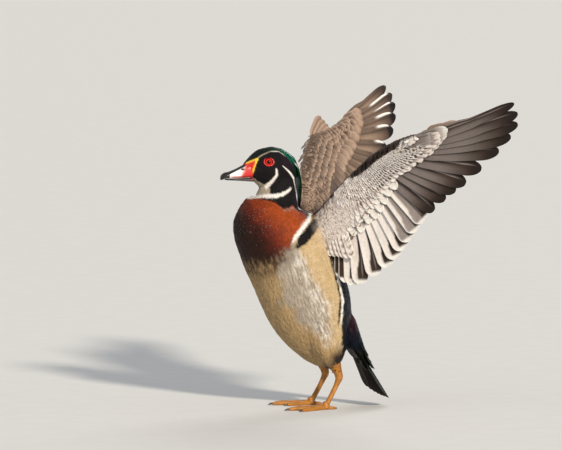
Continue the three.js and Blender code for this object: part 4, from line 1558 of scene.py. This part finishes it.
def build_wing(name, wing):
    flight = flight_feathers()
    generator = np.random.default_rng(5 if wing.side < 0 else 8)
    quills, covers = Parts(), Parts()

    def jitter(size):
        return generator.uniform(-size, size)

    for k, (root, tip, width) in enumerate(flight):
        tint, gloss = flight_tint(k)
        hand = k < PRIMARIES
        notch = 0.3 * step(k, 5, 0) if hand else 0.0
        wide = (20.5 if k else 15.0) if hand else width + 2.5
        bend = -3.0 if hand else -1.5
        if k == 0 and wing.side > 0:
            wide, bend = 17.0, 0.0
        at = on_wing(wing, root, tip, 0.0, 0.13, jitter(0.8), bend)
        blunt = 0.82 if hand else 0.9
        add_feather(quills, at, tint, wide, 34, 0.3, 0.34, 0.7, notch, blunt, gloss)

    for kind, face, count, first, last, length, reach, width, level in COVERT_ROWS:
        for k in range(count):
            place = first + (last - first) * k / (count - 1)
            root, tip, _ = flight_at(flight, place)
            if "median" in kind or "lesser" in kind:
                inset = 3.0 if face > 0 else wing_edge(root[0])
                root = np.array([root[0], wing.front(root[0]) + inset])
            end = reach + jitter(0.014)
            begin = max(-0.02, end - length / np.linalg.norm(tip - root))
            ends = between(root, tip, begin), between(root, tip, end)
            at = on_wing(wing, *ends, face * level, 0.16, jitter(0.4))
            hand = kind in ("upper", "lower") and place < PRIMARIES - 0.5
            full = f"{kind} {'hand' if hand else 'arm'}" if kind in ("upper", "lower") else kind
            tint = cover_tint(full, place, generator.uniform())
            lines = 9 if width < 8 else 14
            add_feather(covers, at, tint, width + jitter(0.05 * width), lines, 0.15, 0.3, 0.6)

    lean = math.radians(2 if wing.side < 0 else 17)
    for k in range(4):
        turn = lean - k * math.radians(3)
        length = 55 - 5 * k
        root = np.array([106.0 + 2 * k, -44.0 + 2.4 * k]) - [0, float(wing.lead(104.0))]
        tip = root + length * np.array([math.cos(turn), -math.sin(turn)])
        at = on_wing(wing, root, tip, 1.3 * (k - 1.2), 0.16, 3.0, 1.0)
        add_feather(covers, at, cover_tint("alula", k), 13, 18, 0.3, 0.3, 0.6, 0, 0.76)
    for k in range(7):
        root = np.array([26.0 - 5 * k, 14.0])
        tip = root + [-2 + jitter(1.5), 42 - 2.4 * k]
        at = on_wing(wing, root, tip, -5.2 - 0.2 * (k % 2), 0.12, -0.8)
        add_feather(covers, at, cover_tint("axillary", k), 11, 22, 0.1, 0.3, 0.7)
    for parts, label in ((quills, "quills"), (covers, "coverts")):
        piece = f"wing_{name}_{label}"
        build_piece(parts, piece, "quills", "wing_feathers", "wing_" + name, feathered=True)


# Tail

def on_tail_feather(angle, start, length, level, rise=0.0):
    c, s = math.cos(angle), math.sin(angle)

    def at(u, side, up):
        along = start + length * u * c - side * s
        out = length * u * s + 14 * s + side * c
        return on_tail(along, out, level + rise * u + up)

    return at


def tail_tint(k, covert):
    def tint(u, v, face):
        colour = shade("quill") * 0.42
        if face > 0:
            colour = mix(shade("black"), shade("green"), 0.2 + 0.3 * step(v, -0.2, 0.6))
        if not covert:
            colour = mix(colour, shade("quill"), 0.25 * step(u, 0.2, 0.8))
        shaft = step(np.abs(v - 0.1), 0.1, 0.03)
        colour = mix(colour, shade("quill"), 0.5 * shaft)
        return colour * streaked(u, v, k + 70)[..., None]

    def gloss(u, v, face):
        return np.full_like(u, 0.5 if face > 0 else 0.1)

    return tint, gloss


def build_tail():
    parts = Parts()
    count = TAIL["feathers"]
    for k in range(count):
        share = 2 * k / (count - 1) - 1
        length = (TAIL["length"] - TAIL["start"]) * (1 - 0.14 * share * share)
        level = TAIL["top"] - TAIL["step"] * abs(share)
        at = on_tail_feather(share * math.radians(TAIL["fan"]), TAIL["start"], length, level)
        tint, gloss = tail_tint(k, False)
        add_feather(parts, at, tint, TAIL["width"], 28, 0.1, 0.4, 0.5, 0, 0.84, gloss)
    for face in (1, -1):
        for row in range(3):
            number = 11 - row
            for k in range(number):
                share = 2 * k / (number - 1) - 1
                length = 36 + 3 * (k % 3) - 3 * abs(share) * row
                height = (6.2 + 2.6 * row) * (1 - 0.35 * share * share)
                level = TAIL["top"] + height if face > 0 else -height
                angle = share * math.radians(26)
                at = on_tail_feather(angle, 30 - 16 * row, length, level, -face * 3.5)
                tint, gloss = tail_tint(k + 11 * row, True)
                add_feather(parts, at, tint, 12.5, 14, 0.1, 0.3, 0.8, 0, 0.78, gloss)
    build_piece(parts, "tail_feathers", "quills", "tail_feathers", "tail", feathered=True)


# Crest: narrow locks over the nape

def build_crest():
    parts = Parts()
    generator = np.random.default_rng(21)
    locks = 84
    for k in range(locks):
        layer = k % 3
        share = np.clip(2 * (k + 0.5) / locks - 1 + generator.uniform(-0.06, 0.06), -1, 1)
        inset = 0.5 + 1.1 * (2 - layer)
        drop = 233 + 15 * share * share + 7 * generator.uniform(0, 1) + 9 * (layer == 2)
        path = [
            (-52 + 2 * layer, share * 7, 308.3 - inset * 0.5),
            (-36.5 - 0.3 * inset, share * (12.4 - 0.3 * inset), 302.5 - 3 * share * share - inset),
            (-27.6 - inset, share * 12, 287 - 3 * share * share),
            (-24.8 - inset, share * 10, 265 + generator.uniform(-1.5, 1.5)),
            (-24.0 - 0.7 * inset, share * 4.5 + generator.uniform(-0.8, 0.8), drop),
        ]
        wide = generator.uniform(2.6, 3.6)
        rows = 26
        u = np.linspace(0, 1, rows)
        middle = curve(path, u)
        along = unit(np.gradient(middle, axis=0))
        across = unit(np.cross(np.cross(along, [0, 1, -0.35 * share]), along) * -1)
        out = np.cross(across, along)
        out = out * np.sign(out @ np.array([1.0, 0, 0.6]))[:, None]
        half = wide / 2 * (1.05 - 0.95 * u**2.2) * np.minimum(1, 0.35 + 3 * u)
        angle = circle(8)
        ring = np.cos(angle)[None, :, None] * across[:, None] * half[:, None, None]
        thick = 0.42 * np.sqrt(half / wide * 2)
        ring = ring + np.sin(angle)[None, :, None] * out[:, None] * thick[:, None, None]
        grid = middle[:, None] + ring
        colour, trait = body_markings(grid.reshape(-1, 3))
        colour = colour * (0.8 + 0.4 * generator.uniform())
        vane = np.stack(np.broadcast_arrays(np.cos(angle)[None] * 0.5 + 0.5, u[:, None]), -1)
        trait[:, 1:] = 0
        parts.loft(grid, tint=np.clip(colour, 0, 1), trait=trait, vane=vane.reshape(-1, 2))
    build_piece(parts, "crest", "plumage", "head_plumage", feathered=True)


# Bill

def bill_half(rows, flat_below, around=96, rings=120):
    t = np.linspace(0, 1, rings + 1)
    x, low, high, wide = curve(rows, t).T
    opened = end_round(t, 0.1)
    angle = circle(around)
    side, up = np.sin(angle), np.cos(angle)
    arch = np.sign(up) * np.abs(up) ** np.where(up < 0, 0.35, 1.1) if flat_below else up
    across = np.sign(side) * np.abs(side) ** 0.8
    grid = np.empty((rings + 1, around, 3))
    grid[..., 0] = x[:, None]
    grid[..., 1] = (wide * opened)[:, None] * across
    grid[..., 2] = ((low + high) / 2)[:, None] + ((high - low) / 2 * opened)[:, None] * arch
    return grid


def upper_bill():
    grid = bill_half(BILL_UPPER, True)
    x, y, z = grid[..., 0], np.abs(grid[..., 1]), grid[..., 2]
    # A nail stands out at the tip, the nostrils are pits, and a groove follows the biting edge
    nail = step(x, -113.5, -117) * step(y, 4.2, 3.2) * step(z, 277, 279)
    grid[..., 2] += 0.35 * nail
    away_x = (x - NOSTRIL["x"]) / NOSTRIL["long"] * 1.7
    away_z = (z - NOSTRIL["z"]) / NOSTRIL["high"] * 1.3
    pit = np.exp(-(away_x**2) - away_z**2)
    grid[..., 1] *= 1 - 0.24 * pit
    groove = np.exp(-((z - 278.4 - 0.02 * (x + 100)) / 0.5) ** 2) * step(y, 3, 5)
    grid[..., 1] *= 1 - 0.035 * groove
    return grid, nail, pit, groove


def bill_tint(grid, nail, pit, groove):
    x, y, z = grid[..., 0], np.abs(grid[..., 1]), grid[..., 2]
    noise = scatter(grid, 1.6, 9) - 0.5
    colour = ink("bill white")
    pink = ink("bill pink")
    slant = -100 + 0.42 * (z - 279)
    red_share = step(x + 1.2 * noise, slant - 3, slant + 4)
    edge = step(z + 0.4 * noise, 279.4, 278.6) * step(x, -114, -108)
    colour = mix(colour, pink, 0.8 * edge)
    colour = mix(colour, shade("red"), np.maximum(red_share, 0.5 * edge * step(x, -104, -96)))
    ridge = np.interp(x, *np.array([(r[0], r[2]) for r in BILL_UPPER[::-1]]).T)
    deep = np.interp(x, [-118, -112, -104, -96, -91, -86], [6, 2.6, 2.1, 2.3, 1.3, -0.6])
    black = step(ridge - z + 0.3 * noise, deep + 0.3, deep - 0.3)
    tip = step(x + 0.8 * noise, -112.6, -114)
    black = np.maximum(black, tip)
    colour = mix(colour, ink("bill black"), black)
    colour = mix(colour, ink("nail"), nail * 0.6)
    # The nostril pit and the groove along the biting edge are darkened: painted shade in the recesses
    colour = mix(colour, ink("nostril"), step(pit, 0.25, 0.6))
    return mix(colour, ink("bill groove painted shade"), 0.4 * groove * (1 - black))


def build_bill():
    upper, lower = Parts(), Parts()
    grid, nail, pit, groove = upper_bill()
    upper.loft(grid, tint=bill_tint(grid, nail, pit, groove).reshape(-1, 3))
    build_piece(upper, "upper_bill", "horn", "bill", "bill_upper")
    grid = bill_half(BILL_LOWER, False)
    x, z = grid[..., 0], grid[..., 2]
    pale = step(z, 274.6, 273.2) * step(x, -116, -110)
    colour = mix(ink("lower bill"), ink("lower bill edge"), 0.15 * pale)
    colour = mix(colour, shade("red"), 0.6 * step(x, -90, -84) * step(z, 274, 276))
    lower.loft(grid, tint=colour.reshape(-1, 3))
    build_piece(lower, "lower_bill", "horn", "bill_lower", "bill_lower")


# Eyes

def head_side(x, z):
    """How far the head's skin stands from its middle plane."""
    rows = sorted(HEAD)
    middle, wide, high = (np.interp(x, [r[0] for r in rows], [r[i] for r in rows]) for i in (1, 2, 3))
    return wide * np.sqrt(np.maximum(0, 1 - ((z - middle) / high) ** 2))


def build_eye(name, side):
    axis = unit([-0.16, side, 0.02])
    first = unit(np.cross(axis, [0, 0, 1.0]))
    second = np.cross(axis, first)
    polar = np.linspace(0, math.pi, 65)[1:-1]
    turn = circle(64)
    ring = np.cos(turn)[:, None] * first + np.sin(turn)[:, None] * second
    direction = np.cos(polar)[:, None, None] * axis + np.sin(polar)[:, None, None] * ring
    # The clear front swells a little over the iris
    swell = 1 + 0.035 * np.exp(-((polar / 0.7) ** 4))
    centre = np.array([EYE["x"], side * EYE["y"], EYE["z"]])
    grid = centre + direction * (EYE["radius"] * swell)[:, None, None]
    share = np.broadcast_to(polar[:, None], grid.shape[:2])
    rays = 0.75 + 0.35 * scatter(np.stack([np.cos(turn) * 9, np.sin(turn) * 9, turn * 0], -1), 1.0, 4)
    colour = ink("iris") * rays[None, :, None]
    colour = mix(colour, ink("iris rim"), step(share, 0.74, 0.84))
    colour = mix(colour, ink("iris glow"), 0.35 * step(share, 0.58, 0.48))
    colour = mix(colour, ink("pupil"), step(share, 0.44, 0.4))
    colour = mix(colour, ink("eye back"), step(share, 0.84, 0.9))
    parts = Parts()
    parts.loft(grid, tint=np.clip(colour, 0, 1).reshape(-1, 3))
    build_piece(parts, f"eye_{name}_ball", "eye", "eye", "eye_" + name)


def build_eye_ring(name, side):
    """The bare red rim of the lids."""
    around, sides = 96, 14
    turn = circle(around)
    x = EYE["x"] + 5.5 * np.cos(turn)
    z = EYE["z"] + 4.4 * np.sin(turn)
    y = side * (head_side(x, z) + 0.1)
    middle = np.column_stack([x, y, z])
    out = unit(np.column_stack([np.cos(turn), 0 * turn, np.sin(turn)]))
    lump = 1 + 0.1 * np.sin(11 * turn) + 0.06 * np.sin(23 * turn + 1)
    section = circle(sides)
    wide = 0.78 * lump * (1 + 0.25 * np.abs(np.cos(turn)))
    grid = middle[:, None] + out[:, None] * (np.cos(section)[None, :, None] * wide[:, None, None])
    bulge = (0.95 * np.sin(section))[None, :, None] * lump[:, None, None]
    grid = grid + np.array([0, side, 0]) * bulge
    last = (around - 1) * sides
    joined = [[last + i, last + (i + 1) % sides, (i + 1) % sides, i] for i in range(sides)]
    # The ring's outer side, where it meets the head, is darker: painted shade in the crease
    inward = np.broadcast_to(step(np.cos(section), 0.6, 1), grid.shape[:2])
    tint = mix(shade("red"), ink("ring crease painted shade"), 0.6 * inward)
    parts = Parts()
    parts.add(grid, ring_faces(around, sides).tolist() + joined, tint=tint.reshape(-1, 3))
    build_piece(parts, f"eye_{name}_ring", "ring", "bill")


# Legs and feet

def leg_tint(grid):
    noise = scatter(grid, 4, 12)
    colour = mix(shade("leg"), ink("leg shadow"), 0.5 * noise)
    return mix(colour, ink("leg top"), 0.35 * step(grid[..., 2], 44, 52)).reshape(-1, 3)


def scuted(grid, front, count, depth):
    """Raises broad scales one above another on the front of a limb."""
    middle = grid.mean(axis=1)[:, None]
    saw = (np.linspace(0, count, len(grid)) % 1)[:, None]
    ahead = step(unit(grid - middle) @ front, 0.1, 0.7)
    return grid + (grid - middle) * (depth * (saw - 0.5) * ahead)[..., None]


def build_leg(name, side):
    rows = [(x, side * y, z, r) for x, y, z, r in LEG[2:]]
    grid = scuted(limb(rows, 40, 150), np.array([-1.0, 0, 0.2]), 22, 0.12)
    grid[..., 2] = np.maximum(grid[..., 2], 0.3)
    parts = Parts()
    parts.loft(grid, tint=leg_tint(grid))
    build_piece(parts, "shank_" + name, "scales", "legs", "leg_" + name)


def toe_path(side, length, angle):
    centre = np.array([FOOT_JOINT[0], side * FOOT_JOINT[1]])
    aim = side * math.radians(angle) + side * math.radians(TOES["turn"])
    return lambda share: centre + share * length * np.array([-math.cos(aim), math.sin(aim)])


# Share of the toe, height and radius, in its thickness
KNUCKLES = [(-0.04, 0.9, 1.25), (0.3, 0.72, 0.95), (0.6, 0.62, 0.82), (0.84, 0.56, 0.7), (0.93, 0.5, 0.45)]
# Share of the toe, height in its thickness or in mm, and radius
HOOK = [(0.88, 0.62, 0, 1.25), (0.96, 0.6, 0, 1.05), (1.0, 0.4, 0, 0.75), (1.035, 0, 0.7, 0.3)]


def build_toe(parts, claws, out, thick):
    rows = [(*out(s), thick * up, thick * r) for s, up, r in KNUCKLES]
    grid = limb(rows, 28, 70)
    middle = grid.mean(axis=1)
    share = np.linspace(0, 1, 71)
    joints = sum(np.exp(-(((share - at) / 0.05) ** 2)) for at in (0.36, 0.68, 0.94))
    grid = middle[:, None] + (grid - middle[:, None]) * (1 + 0.13 * joints)[:, None, None]
    grid = scuted(grid, np.array([0, 0, 1.0]), 18, 0.14)
    grid[..., 2] = np.maximum(grid[..., 2], 0.15)
    parts.loft(grid, tint=leg_tint(grid))
    hook = [(*out(s), thick * up + more, r) for s, up, more, r in HOOK]
    grid = limb(hook, 16, 24)
    grid[..., 2] = np.maximum(grid[..., 2], 0.1)
    along = np.broadcast_to(np.linspace(0, 1, 25)[:, None], grid.shape[:2])
    dark = mix(ink("claw root"), ink("claw tip"), along)
    claws.loft(grid, tint=dark.reshape(-1, 3))


def web(first, second):
    """The skin between two toes, scalloped at its front edge."""
    r = np.linspace(0.06, 1, 26)[:, None]
    s = np.linspace(0, 1, 27)[None, :]
    reach = 0.86 * (1 - 0.24 * 4 * s * (1 - s) * r**3)
    a, b = (np.stack([out(v) for v in (reach * r).ravel()]).reshape(26, 27, 2) for out in (first, second))
    flat = a * (1 - s)[..., None] + b * s[..., None]
    fold = 0.12 * np.sin(s * math.pi * 9) * step(r, 0.1, 0.5)
    up = 1.15 + 0.9 * (2 * s - 1) ** 4 + fold
    top = np.concatenate([flat, (up + 0 * r)[..., None]], -1)
    low = np.concatenate([flat, np.full((26, 27, 1), 0.2)], -1)
    return np.concatenate([top, low[:, ::-1]], axis=1)


def build_foot(name, side):
    parts, claws = Parts(), Parts()
    radius, spread = TOES["radius"], TOES["spread"]
    toes = {
        "inner": (TOES["inner"], -spread, radius),
        "middle": (TOES["middle"], 0, radius * 1.1),
        "outer": (TOES["outer"], spread, radius),
        "hind": (-TOES["hind"], -0.4 * spread, radius * 0.8),
    }
    paths = {}
    for toe, (length, angle, thick) in toes.items():
        paths[toe] = toe_path(side, length, angle)
        build_toe(parts, claws, paths[toe], thick)
    for first, second in (("inner", "middle"), ("middle", "outer")):
        grid = web(paths[first], paths[second])
        parts.loft(grid, tint=leg_tint(grid) * np.array([0.72, 0.66, 0.6]))
    centre = [FOOT_JOINT[0], side * FOOT_JOINT[1]]
    knuckle = limb([(*centre, 1.2, 5.0), (*centre, 4, 4.8), (*centre, 10, 3.5)], 32, 24)
    knuckle[..., 2] = np.maximum(knuckle[..., 2], 0.15)
    parts.loft(knuckle, tint=leg_tint(knuckle))
    build_piece(parts, "toes_" + name, "scales", "legs", "foot_" + name)
    build_piece(claws, "claws_" + name, "claw", "legs")


# Floor, lights and camera

def build_floor():
    rings, around = 40, 96
    turn = circle(around)
    points = [(0, 0, 0)]
    for k in range(1, rings + 1):
        reach = FLOOR_RADIUS * (k / rings) ** 3
        points += [(reach * math.cos(a), reach * math.sin(a), 0) for a in turn]
    faces = [(0, 1 + i, 1 + (i + 1) % around) for i in range(around)]
    for k in range(rings - 1):
        a = 1 + around * k
        b = a + around
        faces += [(a + i, b + i, b + (i + 1) % around, a + (i + 1) % around) for i in range(around)]
    mesh = bpy.data.meshes.new("floor")
    mesh.from_pydata(points, [], faces)
    made, n, shader, place = plain_material("pale_floor", (0.8, 0.8, 0.8))
    noise = n.add("ShaderNodeTexNoise", Vector=place, Scale=30.0, Detail=3.0)
    colour = n.blend(noise.outputs["Fac"], opaque(INKS["floor"]), opaque(INKS["floor light"]))
    n.fill(shader, Base_Color=colour, Roughness=0.8, Specular_IOR_Level=0.1)
    new_object("floor", mesh, made)


def build_lights(light):
    world = bpy.data.worlds.new("studio")
    bpy.context.scene.world = world
    world.use_nodes = True
    sky = world.node_tree.nodes["Background"].inputs
    sky[0].default_value = opaque(INKS["sky"])
    sky[1].default_value = WORLD_LIGHT
    bpy.context.scene.view_settings.view_transform = "Standard"
    for name, spot, size, power, colour in LAMPS:
        data = bpy.data.lights.new(name, "SUN")
        data.angle = size
        data.energy = power * light
        data.color = tone(colour)
        lamp = bpy.data.objects.new(name, data)
        lamp.location = spot
        aim = SHIFT + np.array([20, 0, 200]) * MM - np.array(spot)
        lamp.rotation_euler = Vector(aim).to_track_quat("-Z", "Y").to_euler()
        bpy.context.scene.collection.objects.link(lamp)


def build_camera():
    a, e = math.radians(PHOTO["azimuth"]), math.radians(PHOTO["elevation"])
    right = np.array([math.cos(a), math.sin(a), 0])
    back = np.array([math.sin(a) * math.cos(e), -math.cos(a) * math.cos(e), math.sin(e)])
    up = np.cross(back, right)
    aim = right * AIM[0] * MM + up * AIM[1] * MM
    data = bpy.data.cameras.new("camera")
    data.sensor_width = SENSOR
    data.lens = SENSOR * CAMERA_AWAY / (PHOTO["width"] * PHOTO["mm_a_pixel"] * MM)
    data.clip_start, data.clip_end = 0.1, 60
    camera = bpy.data.objects.new("camera", data)
    spot = aim + back * CAMERA_AWAY + SHIFT * [1, 1, 0]
    rows = [(right[i], up[i], back[i], spot[i]) for i in range(3)]
    camera.matrix_world = Matrix(rows + [(0, 0, 0, 1)])
    bpy.context.scene.collection.objects.link(camera)
    bpy.context.scene.camera = camera


# Add-on

def distance_setting(name, description, default, low=0.0):
    return FloatProperty(name=name, description=description, default=default, min=low, unit="LENGTH")


def factor_setting(name, description, low):
    return FloatProperty(name=name, description=description, default=1.0, min=low)


class WoodDuckSizes(bpy.types.PropertyGroup):
    coat_depth: distance_setting("Coat depth", "How far the skin lies under the feathers", 0.0016)
    skin_grid: distance_setting("Skin grid", "Fineness of the joined skin", 0.0017, 0.001)
    coat_spacing: factor_setting("Feather spacing", "Share of the usual space between small feathers", 0.5)
    light: factor_setting("Light", "Strength of the studio lamps", 0.0)


class Maker:
    bl_options = {"REGISTER"}

    def execute(self, context):
        self.build(context.scene.wood_duck_sizes)
        return {"FINISHED"}


class WOODDUCK_OT_stage(Maker, bpy.types.Operator):
    """Lays the floor and sets the lights and the camera"""

    bl_idname = "wood_duck.stage"
    bl_label = "Floor, lights and camera"

    def build(self, sizes):
        build_floor()
        build_lights(sizes.light)
        build_camera()


class WOODDUCK_OT_body(Maker, bpy.types.Operator):
    """Joins the flesh into one skin and grows the coat of small feathers on it"""

    bl_idname = "wood_duck.body"
    bl_label = "Skin and coat"

    def build(self, sizes):
        skin = build_skin(sizes)
        build_coat(skin, sizes)
        for name in ("lie", "plume", "zone"):
            skin.data.attributes.remove(skin.data.attributes[name])
        finish_piece(skin, "body_plumage", "head", "neck", "torso", "thigh_left", "thigh_right")


class WOODDUCK_OT_wings(Maker, bpy.types.Operator):
    """Sets the flight feathers and coverts of both wings"""

    bl_idname = "wood_duck.wings"
    bl_label = "Wings"

    def build(self, sizes):
        for name, wing in WINGS.items():
            build_wing(name, wing)


class WOODDUCK_OT_tail(Maker, bpy.types.Operator):
    """Sets the tail's feathers and coverts"""

    bl_idname = "wood_duck.tail"
    bl_label = "Tail"

    def build(self, sizes):
        build_tail()


class WOODDUCK_OT_head(Maker, bpy.types.Operator):
    """Makes the crest, bill, eyes and eye rings"""

    bl_idname = "wood_duck.head"
    bl_label = "Crest, bill and eyes"

    def build(self, sizes):
        build_crest()
        build_bill()
        for name, side in SIDES.items():
            build_eye(name, side)
            build_eye_ring(name, side)


class WOODDUCK_OT_legs(Maker, bpy.types.Operator):
    """Makes the scaled legs, webbed toes and claws"""

    bl_idname = "wood_duck.legs"
    bl_label = "Legs and feet"

    def build(self, sizes):
        for name, side in SIDES.items():
            build_leg(name, side)
            build_foot(name, side)


OPERATORS = (
    WOODDUCK_OT_stage,
    WOODDUCK_OT_body,
    WOODDUCK_OT_wings,
    WOODDUCK_OT_tail,
    WOODDUCK_OT_head,
    WOODDUCK_OT_legs,
)


class WOODDUCK_PT_panel(bpy.types.Panel):
    """Lists what the wood duck is made of"""

    bl_idname = "WOODDUCK_PT_panel"
    bl_label = "Wood Duck"
    bl_space_type = "VIEW_3D"
    bl_region_type = "UI"
    bl_category = "Wood Duck"

    def draw(self, context):
        layout = self.layout
        for name in ("coat_depth", "skin_grid", "coat_spacing", "light"):
            layout.prop(context.scene.wood_duck_sizes, name)
        for name in WoodDuckColours.__annotations__:
            layout.prop(context.scene.wood_duck_colours, name)
        for operator in OPERATORS:
            layout.operator(operator.bl_idname)


CLASSES = (WoodDuckColours, WoodDuckSizes, *OPERATORS, WOODDUCK_PT_panel)


def register():
    for item in CLASSES:
        bpy.utils.register_class(item)
    bpy.types.Scene.wood_duck_colours = PointerProperty(type=WoodDuckColours)
    bpy.types.Scene.wood_duck_sizes = PointerProperty(type=WoodDuckSizes)


def unregister():
    del bpy.types.Scene.wood_duck_sizes
    del bpy.types.Scene.wood_duck_colours
    for item in reversed(CLASSES):
        bpy.utils.unregister_class(item)


def main():
    register()
    bpy.ops.wood_duck.stage()
    bpy.ops.wood_duck.body()
    bpy.ops.wood_duck.wings()
    bpy.ops.wood_duck.tail()
    bpy.ops.wood_duck.head()
    bpy.ops.wood_duck.legs()


if __name__ == "__main__":
    main()
